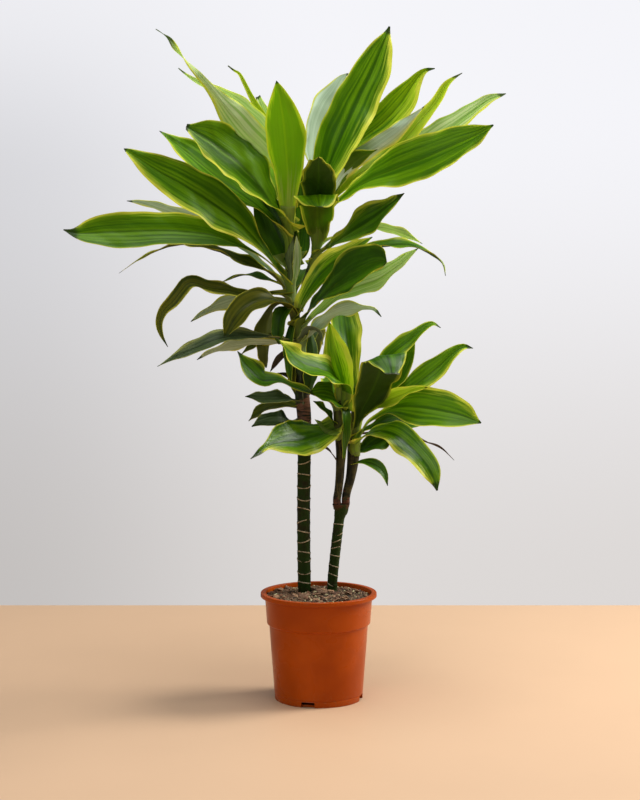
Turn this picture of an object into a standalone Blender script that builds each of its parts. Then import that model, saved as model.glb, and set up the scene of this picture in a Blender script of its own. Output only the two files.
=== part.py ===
"""Potted corn plant: two leafy canes of a variegated dracaena in a round nursery pot.

Units are metres, +Z is up, -Y is the front and the origin is the middle of the pot's underside.
Leaf and stem tables are in millimetres, measured from the same origin.
"""

import math
import random
from typing import NamedTuple

import bmesh
import bpy
import numpy as np
from mathutils import Matrix, Quaternion, Vector

MM = 0.001
GAP = 0.3 * MM

# Pot: a 17 cm nursery pot, moulded in one piece
RIM_RADIUS = 0.085
POT_HEIGHT = 0.157
LIP_HEIGHT = 0.006
COLLAR_TOP_RADIUS = 0.0785
COLLAR_FOOT_RADIUS = 0.0757
COLLAR_FOOT_HEIGHT = 0.1115
BODY_TOP_RADIUS = 0.0722
BASE_RADIUS = 0.0644
GROOVE_HEIGHT = 0.009
GROOVE_DEPTH = 0.0008
WALL = 0.0020
FLOOR = 0.0030
SLOT_COUNT = 4
SLOT_WIDTH = 0.020
SLOT_HEIGHT = 0.009
FIRST_SLOT_DEGREES = -104.0
POT_STEPS = 48

# Soil: fills the pot to just under its rim
SOIL_TOP = 0.15
SOIL_MOUND = 0.004
SOIL_FOOT = FLOOR + GAP
SOIL_RINGS = 6
SOIL_STEPS = 32
CHIP_COUNT = 34
CHIP_SEED = 7

# Canes
CANE_SIDES = 12
TALL_CANE_RADIUS = 0.0095
SHORT_CANE_RADIUS = 0.0074
SCAR_SWELL = 1.10
SCAR_HALF_HEIGHT = 0.0022

# Leaves
BLADE_THICKNESS = 0.0011
MARGIN_THICKNESS = 0.0008
TIP_HALF_WIDTH = 0.0009
SEGMENTS_PER_METRE = 34
FEWEST_SEGMENTS = 4
MOST_SEGMENTS = 10
STEM_SIDES = 8


class Stem(NamedTuple):
    """A shoot's centre line in millimetres, and its radii at even steps from foot to growing point."""

    path: tuple
    radii: tuple


class Leaf(NamedTuple):
    """A leaf's midrib in millimetres from the stem to the tip, and how its blade is shaped.

    roll: turns the upper face about the midrib, in degrees at even steps from root to tip.
        0 faces up, and plus turns the face to the left of the way that the leaf grows.
    belly: where along the midrib the blade is widest. shoulder: how late it widens to there.
    taper: how drawn out the tip is. drip: the share of the length that is a thin dry tip.
    neck: the width near the root as a share of the widest.
    fold: the rise of each half towards its margin, in degrees.
    wave, waves: the height of the margin's waves in millimetres, and their number.
    spread: the width at even steps from root to tip as shares of the widest, for a blade whose
        outline belly, shoulder, taper and neck don't draw.
    columns: how many points lie across each face of the blade.
    """

    path: tuple
    width: float
    roll: tuple = (0, 0, 0)
    belly: float = 0.56
    shoulder: float = 1.0
    taper: float = 1.0
    neck: float = 0.36
    fold: float = 14.0
    wave: float = 2.5
    waves: float = 2.5
    drip: float = 0.0
    spread: tuple = ()
    columns: int = 3


TALL_CANE = ((-21, 18, 92), (-21, 18, 155), (-22, 17, 260), (-21, 16, 360), (-21, 16, 377))
TALL_SCARS = (168, 184, 203, 213, 231, 244, 258, 277, 293, 311, 328, 347, 360)
SHORT_CANE = (
    (20, 25, 92), (20, 25, 160), (25, 25, 215), (30.5, 24, 262), (33, 24, 273), (33, 24, 278), (33, 24, 283),
)
SHORT_SCARS = (164, 178, 192, 207, 218, 229, 240, 253, 266)

TALL_LEFT_STEM = Stem(
    ((-21, 16, 377.4), (-21, 16, 410), (-24, 16, 445), (-26, 16, 480), (-31, 18, 540),
    (-39, 19, 585), (-42, 16, 680), (-44, 14, 697)),
    (9.4, 10.4, 10.6, 10.2, 8.0, 6.7, 7.0, 7.4, 5.6),
)
TALL_RIGHT_STEM = Stem(
    ((-26.6, 23.7, 566), (-22, 26, 600), (-11, 29, 635), (-2, 31, 665), (0, 31, 700), (0, 31, 716)),
    (4.2, 4.6),
)
SHORT_LEFT_STEM = Stem(
    ((27, 22, 283.5), (27, 22, 292), (29, 21, 304), (31, 19, 325), (32, 18, 345), (33, 16, 365),
    (32, 13, 395), (31, 10, 416), (30, 8, 438)),
    (5.9, 5.9, 6.2, 6.6, 7.6, 8.6, 9.4, 8.6, 5.5),
)
SHORT_RIGHT_STEM = Stem(
    ((40, 26, 283.5), (40, 26, 292), (42, 26, 303), (46, 27, 318), (49, 28, 335), (51, 29, 355),
    (52, 30, 380), (54, 31, 405), (56, 32, 425), (58, 32, 438)),
    (6.0, 6.2, 7.0, 8.2, 9.2, 9.6, 9.0, 7.4, 4.6),
)

TALL_LEFT_LEAVES = {
    "high_twisted": Leaf(
        ((-44, 13, 686), (-50, 14, 734), (-57, 8, 769), (-75, -12, 796), (-100, -38, 820),
         (-124, -56, 848), (-148, -68, 877), (-170, -76, 902), (-184, -80, 918), (-197, -84, 934),
         (-206, -85, 946), (-215, -86, 953), (-224, -86, 959)),
        46, (-30, -50, -65, -70, -72, -76, -80, -84, -88), fold=8,
        spread=(0.25, 0.2, 0.2, 0.24, 0.42, 0.8, 1, 0.96, 0.78, 0.48, 0.26, 0.2, 0.2, 0.15, 0.02),
    ),
    "behind_twisted": Leaf(
        ((-44, 15, 686), (-59, 35, 770), (-82, 46, 825), (-106, 54, 852), (-132, 58, 874),
         (-162, 60, 892), (-185, 62, 904), (-197, 63, 913), (-205, 64, 920)),
        38, (-20, -50, -50), spread=(0.3, 0.35, 0.5, 0.8, 1, 1, 0.72, 0.3, 0.03),
    ),
    "lime_narrow": Leaf(
        ((-41, 15, 690), (-55, 60, 779), (-69, 85, 824), (-84, 100, 853), (-99, 112, 880),
         (-110, 120, 902), (-118, 126, 917), (-127, 130, 923), (-136, 133, 930)),
        17, (0, 60, 70), spread=(0.4, 0.5, 0.7, 1, 1, 0.85, 0.55, 0.38, 0.1),
    ),
    "small_behind": Leaf(
        ((-41, 15, 690), (-51, 60, 765), (-69, 100, 825), (-83, 125, 864), (-91, 138, 885)),
        24, (0, 40, 50), spread=(0.4, 0.6, 0.85, 1, 1, 0.85, 0.3),
    ),
    "upright_bright": Leaf(
        ((-44, 12, 690), (-45, -5, 725), (-44, -25, 765), (-48, -55, 825), (-53, -75, 862),
         (-58, -92, 888)),
        57, belly=0.62, taper=0.95, fold=10,
    ),
    "dark_foreshortened": Leaf(
        ((-44, 12, 680), (-65, -4, 718), (-89, -22, 752), (-119, -45, 783), (-151, -72, 807),
         (-182, -98, 825)),
        74, (20, 75, 85), spread=(0.5, 0.72, 0.92, 1, 1, 0.97, 0.88, 0.65, 0.12),
    ),
    "behind_long_left": Leaf(
        ((-42, 15, 670), (-81, 15, 713), (-136, 10, 753), (-176, 0, 785), (-206, -10, 808),
         (-226, -20, 824)),
        60, (20, 50, 55), neck=0.6,
    ),
    "long_left": Leaf(
        ((-42, 14, 605), (-60, 0, 630), (-82, -20, 661), (-110, -40, 693), (-149, -60, 721),
         (-186, -80, 745), (-230, -90, 770), (-268, -100, 795)),
        66, (30, 80, 80), shoulder=1.45, taper=0.75, neck=0.28, fold=8,
    ),
    "blue_behind": Leaf(
        ((-40, 20, 600), (-75, 40, 628), (-110, 60, 655), (-155, 78, 683), (-206, 92, 705),
         (-241, 100, 718), (-267, 106, 725), (-287, 110, 728)),
        38, (0, -45, -50),
    ),
    "far_left": Leaf(
        ((-40, 16, 600), (-65, 5, 632), (-100, -5, 656), (-145, -20, 675), (-190, -35, 682),
         (-240, -50, 683), (-300, -60, 681), (-338, -70, 679), (-356, -76, 684)),
        54, (10, 60, 70), spread=(0.12, 0.12, 0.14, 0.32, 0.66, 0.87, 0.96, 1, 1, 0.93, 0.6, 0.03),
    ),
    "wavy_thin": Leaf(
        ((-40, 20, 590), (-70, 40, 620), (-98, 50, 633), (-122, 60, 642), (-155, 75, 656),
         (-190, 90, 664), (-235, 100, 656), (-270, 110, 640), (-300, 112, 620)),
        36, (0, 15, 20), belly=0.4, shoulder=0.8, taper=1.5, neck=0.5, wave=4, waves=3.5,
    ),
    "kinked_droop": Leaf(
        ((-39, 16, 590), (-73, 2, 592), (-106, -10, 593), (-134, -24, 598), (-158, -36, 603),
         (-174, -44, 609), (-185, -49, 608), (-194, -54, 598), (-206, -58, 583), (-218, -62, 571),
         (-224, -66, 554), (-221, -69, 537), (-212, -71, 520)),
        23, (10, 50, 60), wave=3, spread=(0.5, 0.55, 0.7, 0.9, 1, 1, 1, 0.9, 0.6, 0.35, 0.04),
    ),
    "small_mid_left": Leaf(
        ((-40, 24, 600), (-85, 50, 615), (-110, 70, 618), (-135, 85, 610), (-155, 92, 603)),
        20, (0, 15, 15), neck=0.5,
    ),
    "blue_mid_left": Leaf(
        ((-39, 17, 582), (-80, 24, 584), (-115, 26, 581), (-145, 22, 573), (-165, 14, 564),
         (-185, 6, 552)),
        29, (0, -40, -45),
    ),
    "curled_olive": Leaf(
        ((-33, 14, 550), (-44, 0, 571), (-62, -16, 583), (-84, -30, 584), (-104, -42, 575),
         (-118, -50, 560), (-127, -54, 545), (-131, -56, 534)),
        36, (0, 40, 50), fold=24, wave=4, waves=2, spread=(0.4, 0.5, 0.6, 0.75, 0.95, 1, 0.8, 0.15),
    ),
    "low_left_long": Leaf(
        ((-31, 16, 522), (-66, -10, 530), (-109, -30, 534), (-147, -50, 529), (-186, -65, 513),
         (-226, -80, 493)),
        31, (0, 35, 40), taper=1.2,
    ),
    "low_left_blue": Leaf(
        ((-30, 20, 520), (-80, 10, 521), (-120, 0, 517), (-150, -10, 510), (-175, -15, 498)),
        40, (0, -30, -30),
    ),
    "hanging_olive": Leaf(
        ((-34, 19, 560), (-48, 32, 575), (-62, 42, 574), (-74, 52, 557), (-78, 62, 531),
         (-78, 72, 504), (-78, 80, 480)),
        42, spread=(0.2, 0.36, 0.6, 0.85, 1, 1, 0.95, 0.7, 0.05),
    ),
    "hanging_small": Leaf(
        ((-29, 20, 515), (-66, 60, 522), (-93, 85, 517), (-117, 96, 498)),
        26, (0, 50, 60),
    ),
    "dried_curl": Leaf(
        ((-28, 16, 510), (-45, 5, 508), (-58, 0, 498), (-70, 0, 480)),
        11, (0, 40, 60), wave=0,
    ),
    "dark_spike": Leaf(
        ((-24, 16, 448), (-35, 10, 465), (-47, 5, 474), (-60, 0, 478)),
        12, (0, 40, 40), wave=0,
    ),
    "low_grey": Leaf(
        ((-21, 16, 432), (-44, 5, 440), (-70, -5, 441), (-90, -10, 443), (-106, -14, 445)),
        29, (0, 35, 40),
    ),
    "low_green": Leaf(
        ((-21, 18, 422), (-50, 35, 428), (-78, 48, 422), (-104, 60, 402)),
        36, (0, 30, 40), spread=(0.6, 0.85, 1, 1, 0.9, 0.6, 0.05),
    ),
    "low_pale": Leaf(
        ((-20, 16, 398), (-45, -5, 406), (-72, -20, 410), (-96, -30, 403)),
        38, (0, 35, 30), spread=(0.6, 0.85, 1, 1, 0.85, 0.5, 0.05),
    ),
    "broad_right": Leaf(
        ((-30, 14, 540), (-10, -15, 572), (15, -45, 600), (42, -80, 622), (68, -115, 636),
         (84, -145, 642), (92, -165, 640)),
        64, (-20, -75, -70), belly=0.66, shoulder=0.9, taper=0.55, neck=0.5,
    ),
    "behind_broad": Leaf(
        ((-33, 13, 550), (-20, -5, 588), (4, -8, 622), (38, 6, 650), (78, 22, 674)),
        38, (0, -60, -60), neck=0.6,
    ),
    "light_right": Leaf(
        ((-30, 16, 535), (5, 5, 570), (42, -5, 597), (83, -10, 613), (113, -15, 633),
         (142, -20, 658)),
        50, (0, -45, -45),
    ),
    "pale_right": Leaf(
        ((-29, 14, 511), (-11, -2, 534), (6, -14, 552), (23, -22, 565), (42, -30, 571),
         (60, -36, 572), (78, -40, 572), (89, -43, 561)),
        27, (0, 38, 40), wave=5, waves=3,
    ),
    "hidden_back": Leaf(
        ((-42, 18, 680), (-50, 65, 740), (-60, 125, 785), (-70, 190, 812), (-80, 250, 825)),
        54,
    ),
    "hidden_low_back": Leaf(
        ((-40, 22, 590), (-32, 80, 615), (-25, 140, 625), (-18, 200, 610), (-12, 235, 580)),
        48,
    ),
    "hidden_low": Leaf(
        ((-29, 22, 505), (-20, 75, 520), (-12, 135, 530), (-5, 190, 515), (0, 220, 490)),
        44,
    ),
    "inner_dark": Leaf(
        ((-41, 17, 628), (-54, 20, 668), (-72, 24, 708), (-92, 28, 740)),
        54, (50, 80, 80), spread=(0.5, 0.85, 1, 0.95, 0.7, 0.1),
    ),
    "inner_back": Leaf(
        ((-41, 18, 628), (-30, 30, 655), (-26, 40, 690), (-25, 48, 730), (-25, 54, 765)),
        42, spread=(0.5, 0.85, 1, 0.95, 0.7, 0.1),
    ),
    "pale_tongue": Leaf(
        ((-37, 15, 600), (-32, 4, 625), (-30, 0, 650), (-32, -2, 677)),
        13,
    ),
    "grey_fold": Leaf(
        ((-29, 14, 520), (-14, -6, 539), (-3, -13, 541), (4, -17, 531), (6, -20, 519)),
        20, (0, 25, 25), neck=0.7, wave=3,
    ),
    "hanging_sheath": Leaf(
        ((-31, 16, 546), (-38, 5, 544), (-43, -2, 522), (-43, -4, 492), (-39, -3, 462)),
        15, spread=(0.6, 0.9, 1, 1, 0.7, 0.1),
    ),
    "dried_scrap": Leaf(
        ((-27, 15, 505), (-36, 6, 494), (-39, 2, 470), (-34, 2, 446)),
        12, (0, 40, 40), neck=0.6,
    ),
    "left_sheath": Leaf(
        ((-31, 15, 566), (-44, 2, 572), (-54, -6, 560), (-58, -8, 538), (-56, -6, 520)),
        24, (0, 20, 20), spread=(0.6, 0.9, 1, 1, 0.8, 0.2),
    ),
    "right_sheath": Leaf(
        ((-20, 14, 436), (-11, 5, 468), (-8, 1, 505), (-12, 2, 540)),
        21, spread=(0.8, 1, 1, 0.9, 0.3),
    ),
}

TALL_RIGHT_LEAVES = {
    "front_shield": Leaf(
        ((0, 27, 692), (0, -20, 715), (0, -75, 745), (0, -130, 767), (0, -185, 780)),
        50, belly=0.5, fold=10,
    ),
    "front_arch": Leaf(
        ((1, 27, 665), (-1, 8, 690), (-2, -20, 712), (-2, -55, 727), (-2, -90, 732),
         (-1, -120, 727), (1, -142, 714)),
        62, belly=0.64, shoulder=0.7, taper=0.42, neck=0.45, fold=-8, wave=4, waves=3,
    ),
    "pale_blue_up": Leaf(
        ((1, 31, 697), (-9, 55, 765), (-5, 70, 816), (6, 80, 856), (22, 90, 886), (34, 98, 907),
         (44, 102, 916)),
        44, (0, 90, 130), belly=0.64, taper=0.9, neck=0.5,
    ),
    "tallest": Leaf(
        ((1, 29, 700), (4, 21, 745), (21, 20, 793), (40, 24, 837), (56, 32, 871), (75, 40, 909),
         (88, 47, 940), (98, 52, 964), (103, 55, 979)),
        66, (0, -65, -85), fold=10, spread=(0.5, 0.62, 0.8, 0.93, 1, 0.99, 0.93, 0.78, 0.5, 0.04),
    ),
    "high_right": Leaf(
        ((1, 32, 705), (20, 50, 762), (53, 60, 808), (93, 68, 841), (120, 74, 870), (137, 78, 894),
         (150, 80, 912), (160, 81, 919), (171, 82, 921)),
        46, (0, -70, -75), spread=(0.25, 0.3, 0.45, 0.62, 0.85, 1, 0.93, 0.45, 0.03),
    ),
    "lime_right": Leaf(
        ((1, 32, 700), (48, 50, 756), (98, 80, 792), (133, 100, 824), (158, 110, 855),
         (175, 116, 874), (189, 122, 898), (201, 126, 910), (215, 130, 919)),
        28, (0, -40, -45), spread=(0.3, 0.4, 0.6, 0.9, 1, 0.95, 0.78, 0.5, 0.03),
    ),
    "pale_blue_right": Leaf(
        ((1, 33, 705), (24, 32, 742), (46, 34, 774), (78, 38, 800), (113, 44, 825), (134, 48, 844),
         (154, 52, 864)),
        32, (0, 60, 70), neck=0.8,
    ),
    "far_high_right": Leaf(
        ((1, 32, 710), (58, 70, 760), (133, 105, 797), (178, 125, 826), (223, 142, 857),
         (255, 154, 880), (284, 162, 891)),
        41, (0, -40, -50), belly=0.62, taper=0.85,
    ),
    "broad_high_right": Leaf(
        ((1, 28, 694), (31, 0, 726), (66, -25, 753), (107, -48, 770), (148, -70, 785),
         (191, -85, 803), (219, -95, 815), (240, -105, 827)),
        60, (-10, -80, -80), fold=8,
        spread=(0.24, 0.24, 0.3, 0.46, 0.78, 0.98, 1, 0.97, 0.84, 0.56, 0.03),
    ),
    "inner_blue": Leaf(
        ((0, 31, 700), (28, 30, 755), (55, 30, 785), (85, 25, 800)),
        36, (0, 40, 40), neck=0.7,
    ),
    "dark_right": Leaf(
        ((-4, 28, 646), (17, 12, 662), (44, -10, 679), (70, -30, 696), (95, -48, 715),
         (120, -66, 735)),
        50, (-10, -70, -75), taper=1.1,
    ),
    "pale_arch": Leaf(
        ((1, 32, 665), (40, 62, 679), (79, 85, 688), (113, 102, 683), (140, 112, 672),
         (156, 118, 664)),
        27, (0, 25, 30),
    ),
    "olive_droop": Leaf(
        ((-14, 29, 632), (40, 55, 653), (97, 80, 660), (138, 90, 661), (167, 100, 648),
         (185, 105, 635), (190, 105, 616)),
        36, (0, -15, -25), neck=0.7,
    ),
    "hidden_back_low": Leaf(
        ((0, 33, 685), (-6, 85, 720), (-14, 145, 748), (-20, 200, 760), (-25, 250, 755)),
        50,
    ),
    "hidden_back_high": Leaf(
        ((0, 33, 702), (10, 85, 745), (22, 145, 785), (35, 205, 805), (46, 255, 810)),
        54,
    ),
}

SHORT_LEFT_LEAVES = {
    "boat_tip": Leaf(
        ((29, 10, 430), (5, -8, 441), (-18, -24, 453), (-39, -36, 462), (-56, -43, 470),
         (-67, -45, 471), (-80, -48, 471), (-93, -50, 480), (-105, -54, 494), (-115, -56, 513)),
        36, (0, 45, 60), fold=24,
        spread=(0.3, 0.38, 0.46, 0.46, 0.4, 0.36, 0.6, 0.92, 1, 0.7, 0.03),
    ),
    "glossy_front": Leaf(
        ((29, 12, 399), (11, -8, 392), (-20, -32, 386), (-46, -54, 385), (-66, -72, 383),
         (-77, -84, 378), (-86, -92, 371), (-95, -100, 365)),
        62, (10, 50, 50), fold=8, spread=(0.4, 0.62, 0.88, 1, 1, 1, 0.9, 0.55, 0.2, 0.13, 0.02),
    ),
    "lime_margin_arch": Leaf(
        ((30, 9, 425), (34, -4, 458), (19, -20, 478), (2, -38, 487), (-15, -52, 493),
         (-30, -66, 502), (-43, -76, 515), (-57, -88, 532)),
        44, (10, 50, 60), wave=5, spread=(0.7, 0.8, 0.9, 1, 1, 1, 1, 0.85, 0.55, 0.03),
    ),
    "upright_lime": Leaf(
        ((33, 8, 432), (37, 0, 456), (34, -6, 478), (28, -8, 500), (22, -6, 522), (18, 0, 539),
         (15, 6, 552)),
        40, (120, 100, 90), belly=0.5, neck=0.6,
    ),
    "dried_strand": Leaf(
        ((28, 17, 345), (19, 5, 360), (10, -4, 369), (0, -10, 374)),
        9, (0, 40, 40), wave=0,
    ),
    "dark_small_left": Leaf(
        ((29, 12, 396), (18, 2, 412), (5, -4, 428), (-8, -8, 438)),
        21, (0, 40, 50),
    ),
    "hidden_back_left": Leaf(
        ((28, 12, 418), (26, 60, 440), (22, 110, 458), (18, 155, 462)),
        42,
    ),
    "under_arch": Leaf(
        ((30, 9, 424), (22, -8, 444), (6, -22, 452), (-12, -32, 452)),
        46, (10, 50, 50), fold=6, spread=(0.5, 0.85, 1, 0.9, 0.6, 0.1),
    ),
    "dark_sheath": Leaf(
        ((31, 10, 430), (39, 0, 422), (40, -3, 400), (38, -2, 375), (36, 2, 352)),
        15, spread=(0.7, 1, 1, 0.7, 0.2),
    ),
}

SHORT_RIGHT_LEAVES = {
    "upright_glossy": Leaf(
        ((58, 32, 430), (52, 38, 459), (47, 46, 491), (43, 56, 520), (40, 70, 543), (38, 90, 561),
         (37, 108, 573)),
        46, belly=0.72, shoulder=1.3, taper=0.5,
    ),
    "high_small_right": Leaf(
        ((58, 32, 430), (72, 36, 466), (102, 45, 498), (131, 54, 521), (152, 60, 538),
         (168, 65, 546), (181, 70, 540)),
        28, (0, -45, -45),
    ),
    "behind_small_right": Leaf(
        ((58, 33, 426), (90, 48, 440), (114, 60, 462), (129, 70, 489), (138, 78, 513),
         (143, 84, 532)),
        25, (0, -50, -60),
    ),
    "arch_to_front": Leaf(
        ((52, 28, 376), (56, 14, 402), (65, -4, 430), (74, -22, 449), (82, -45, 470),
         (88, -66, 493), (92, -86, 507), (95, -104, 510), (99, -118, 500), (101, -127, 486)),
        60, fold=-8, wave=4.5, waves=3,
        spread=(0.16, 0.18, 0.42, 0.74, 0.92, 1, 1, 0.98, 0.85, 0.35),
    ),
    "long_small_right": Leaf(
        ((56, 32, 409), (98, 45, 432), (137, 55, 453), (170, 65, 476), (197, 72, 500),
         (215, 76, 511), (230, 80, 509)),
        35, (0, -50, -55), belly=0.6,
    ),
    "lime_small_right": Leaf(
        ((56, 31, 405), (78, 6, 422), (97, -18, 437), (118, -36, 449), (136, -48, 457),
         (154, -58, 462)),
        30, (0, -50, -50),
    ),
    "broad_right_low": Leaf(
        ((52, 28, 374), (69, 10, 400), (90, -5, 419), (114, -20, 430), (142, -35, 432),
         (171, -50, 429), (201, -64, 423), (229, -76, 413)),
        60, (0, -60, -60), spread=(0.25, 0.22, 0.2, 0.25, 0.5, 0.87, 1, 0.98, 0.86, 0.58, 0.03),
    ),
    "under_broad": Leaf(
        ((53, 30, 385), (79, 40, 395), (105, 46, 405), (132, 52, 404), (159, 56, 400)),
        46, (0, -45, -45), spread=(0.2, 0.2, 0.3, 0.7, 1, 0.95, 0.7, 0.1),
    ),
    "droop_right": Leaf(
        ((50, 28, 366), (69, 0, 387), (87, -25, 396), (107, -45, 394), (125, -58, 382),
         (141, -70, 368), (155, -78, 351), (163, -82, 334), (167, -84, 318)),
        40, (0, -38, -50), spread=(0.35, 0.5, 0.7, 0.9, 1, 0.97, 0.85, 0.68, 0.06),
    ),
    "thin_tip_behind": Leaf(
        ((54, 30, 385), (120, 70, 385), (160, 90, 368), (185, 100, 356), (205, 105, 338)),
        18, (0, -10, -10),
    ),
    "small_low_right": Leaf(
        ((46, 27, 338), (60, 12, 347), (80, 0, 345), (94, -8, 334), (100, -12, 315)),
        17, (0, -40, -40), wave=1,
    ),
    "dark_low_right": Leaf(
        ((50, 29, 355), (75, 42, 367), (97, 55, 376), (120, 62, 380)),
        34, (0, -50, -50),
    ),
    "hidden_back_right": Leaf(
        ((57, 33, 408), (66, 80, 430), (75, 130, 445), (85, 180, 445)),
        42,
    ),
}


def clear_scene():
    for obj in list(bpy.data.objects):
        bpy.data.objects.remove(obj, do_unlink=True)


def new_collection(name):
    collection = bpy.data.collections.new(name)
    bpy.context.scene.collection.children.link(collection)
    return collection


def material(name, colour, roughness):
    made = bpy.data.materials.new(name)
    made.use_nodes = True
    shader = made.node_tree.nodes["Principled BSDF"]
    shader.inputs["Base Color"].default_value = (*colour, 1.0)
    shader.inputs["Roughness"].default_value = roughness
    made.diffuse_color = (*colour, 1.0)
    return made


def add_object(name, mesh, collection, finish=None):
    obj = bpy.data.objects.new(name, mesh)
    collection.objects.link(obj)
    if finish:
        mesh.materials.append(finish)
    return obj


def shade_round(mesh, degrees=35):
    mesh.shade_smooth()
    mesh.set_sharp_from_angle(angle=math.radians(degrees))


def hide_cutter(obj):
    obj.hide_render = True
    obj.display_type = "WIRE"


def baked(obj):
    """The object's evaluated shape as a plain welded mesh."""
    graph = bpy.context.evaluated_depsgraph_get()
    mesh = bpy.data.meshes.new_from_object(obj.evaluated_get(graph))
    mesh.transform(obj.matrix_world)
    shape = bmesh.new()
    shape.from_mesh(mesh)
    bmesh.ops.remove_doubles(shape, verts=shape.verts, dist=1e-6)
    bmesh.ops.recalc_face_normals(shape, faces=shape.faces)
    shape.to_mesh(mesh)
    shape.free()
    return mesh


def smooth_path(points, count):
    """Evenly spaced points along a smooth curve through the given points."""
    knots = np.array(points, float) * MM
    ends = np.vstack([2 * knots[0] - knots[1], knots, 2 * knots[-1] - knots[-2]])
    dense = []
    for i in range(len(knots) - 1):
        a, b, c, d = ends[i : i + 4]
        for t in np.linspace(0, 1, 16, endpoint=False):
            bend = 2 * a - 5 * b + 4 * c - d
            twist = 3 * b - a - 3 * c + d
            dense.append(0.5 * (2 * b + (c - a) * t + bend * t**2 + twist * t**3))
    dense = np.array([*dense, knots[-1]])
    along = np.concatenate([[0], np.cumsum(np.linalg.norm(np.diff(dense, axis=0), axis=1))])
    places = np.linspace(0, along[-1], count)
    return np.column_stack([np.interp(places, along, dense[:, k]) for k in range(3)]), along[-1]


def tube(name, path, radii, sides, collection):
    """A round stem through the points, with a radius for each of them."""
    curve = bpy.data.curves.new(name, "CURVE")
    curve.dimensions = "3D"
    curve.bevel_depth = 1.0
    curve.bevel_resolution = sides // 2 - 2
    curve.use_fill_caps = True
    spline = curve.splines.new("POLY")
    spline.points.add(len(path) - 1)
    for point, place, radius in zip(spline.points, path, radii):
        point.co = (*place, 1.0)
        point.radius = radius
    obj = bpy.data.objects.new(name, curve)
    collection.objects.link(obj)
    mesh = baked(obj)
    bpy.data.objects.remove(obj, do_unlink=True)
    return add_object(name, mesh, collection)


def eased(values, t):
    """A smooth curve through evenly spaced values, read at the share t of their span."""
    place = t * (len(values) - 1)
    i = min(int(place), len(values) - 2)
    u = place - i
    before, a, b, after = values[max(i - 1, 0)], values[i], values[i + 1], values[min(i + 2, len(values) - 1)]
    bend = 2 * before - 5 * a + 4 * b - after + u * (3 * (a - b) + after - before)
    return a + 0.5 * u * (b - before + u * bend)


def half_width(leaf, t):
    """Half the blade's width at the share t of the midrib, in metres."""
    if leaf.spread:
        return max(leaf.width * eased(leaf.spread, t) / 2 * MM, TIP_HALF_WIDTH)
    if t < leaf.belly:
        share = math.sin(math.pi / 2 * t / leaf.belly) ** (2 * leaf.shoulder)
    else:
        past = min(1, (t - leaf.belly) / (1 - leaf.belly - leaf.drip))
        share = math.cos(math.pi / 2 * past) ** leaf.taper
    narrowest = leaf.neck * min(1, 0.6 + 4 * t) * (1 - min(1, t / leaf.belly) ** 2)
    return max(leaf.width * (narrowest + (1 - narrowest) * share) / 2 * MM, TIP_HALF_WIDTH)


def blade_frames(leaf, count):
    """The midrib's points with the blade's side and face directions, carried along it without spinning."""
    places, length = smooth_path(leaf.path, count)
    tangents = np.gradient(places, axis=0)
    tangents /= np.linalg.norm(tangents, axis=1)[:, None]
    heading = places[-1] - places[0]
    side = Vector((heading[1], -heading[0], 0)).normalized()
    frames = []
    for i, (place, way) in enumerate(zip(places, tangents)):
        way = Vector(way)
        if i:
            side = frames[-1][4].rotation_difference(way) @ side
        side = (side - way * side.dot(way)).normalized()
        t = i / (count - 1)
        roll = math.radians(np.interp(t, np.linspace(0, 1, len(leaf.roll)), leaf.roll))
        turned = Quaternion(way, -roll) @ side
        frames.append((Vector(place), turned, turned.cross(way), t, way))
    return frames, length


def cross_section(leaf, t, half):
    """(across, rise) for each column of the blade: the fold and the margin's waves, in metres."""
    lift = math.tan(math.radians(leaf.fold))
    places = []
    for across in np.linspace(-1, 1, leaf.columns):
        ripple = leaf.wave * MM * math.sin(2 * math.pi * leaf.waves * t + 1.3 * across) * across**2
        rise = lift * half * abs(across) ** 1.5 + ripple * min(1, half / 0.012)
        places.append((across * half, rise))
    return places


def blade_mesh(name, leaf):
    """A closed thin blade, split into triangles alike on both faces."""
    length = smooth_path(leaf.path, 2)[1]
    segments = int(np.clip(round(length * SEGMENTS_PER_METRE), FEWEST_SEGMENTS, MOST_SEGMENTS))
    frames, _ = blade_frames(leaf, segments + 1)
    shape = bmesh.new()
    rows = []
    last = leaf.columns - 1
    for place, side, face, t, _ in frames:
        row = []
        for i, (across, rise) in enumerate(cross_section(leaf, t, half_width(leaf, t))):
            middle = place + side * across + face * rise
            thick = (MARGIN_THICKNESS if i in (0, last) else BLADE_THICKNESS) / 2
            row.append((shape.verts.new(middle + face * thick), shape.verts.new(middle - face * thick)))
        rows.append(row)
    for near, far in zip(rows, rows[1:]):
        for i in range(last):
            for k, order in ((0, (0, 1, 2)), (1, (0, 2, 1))):
                a, b, c, d = near[i][k], near[i + 1][k], far[i + 1][k], far[i][k]
                for corners in ((a, b, c), (a, c, d)):
                    shape.faces.new([corners[j] for j in order])
        for i in (0, last):
            shape.faces.new((near[i][0], far[i][0], far[i][1], near[i][1]))
    for row in (rows[0], rows[-1]):
        for i in range(last):
            shape.faces.new((row[i][0], row[i + 1][0], row[i + 1][1], row[i][1]))
    bmesh.ops.triangulate(shape, faces=[f for f in shape.faces if len(f.verts) > 3])
    bmesh.ops.recalc_face_normals(shape, faces=shape.faces)
    mesh = bpy.data.meshes.new(name)
    shape.to_mesh(mesh)
    shape.free()
    return mesh


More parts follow.
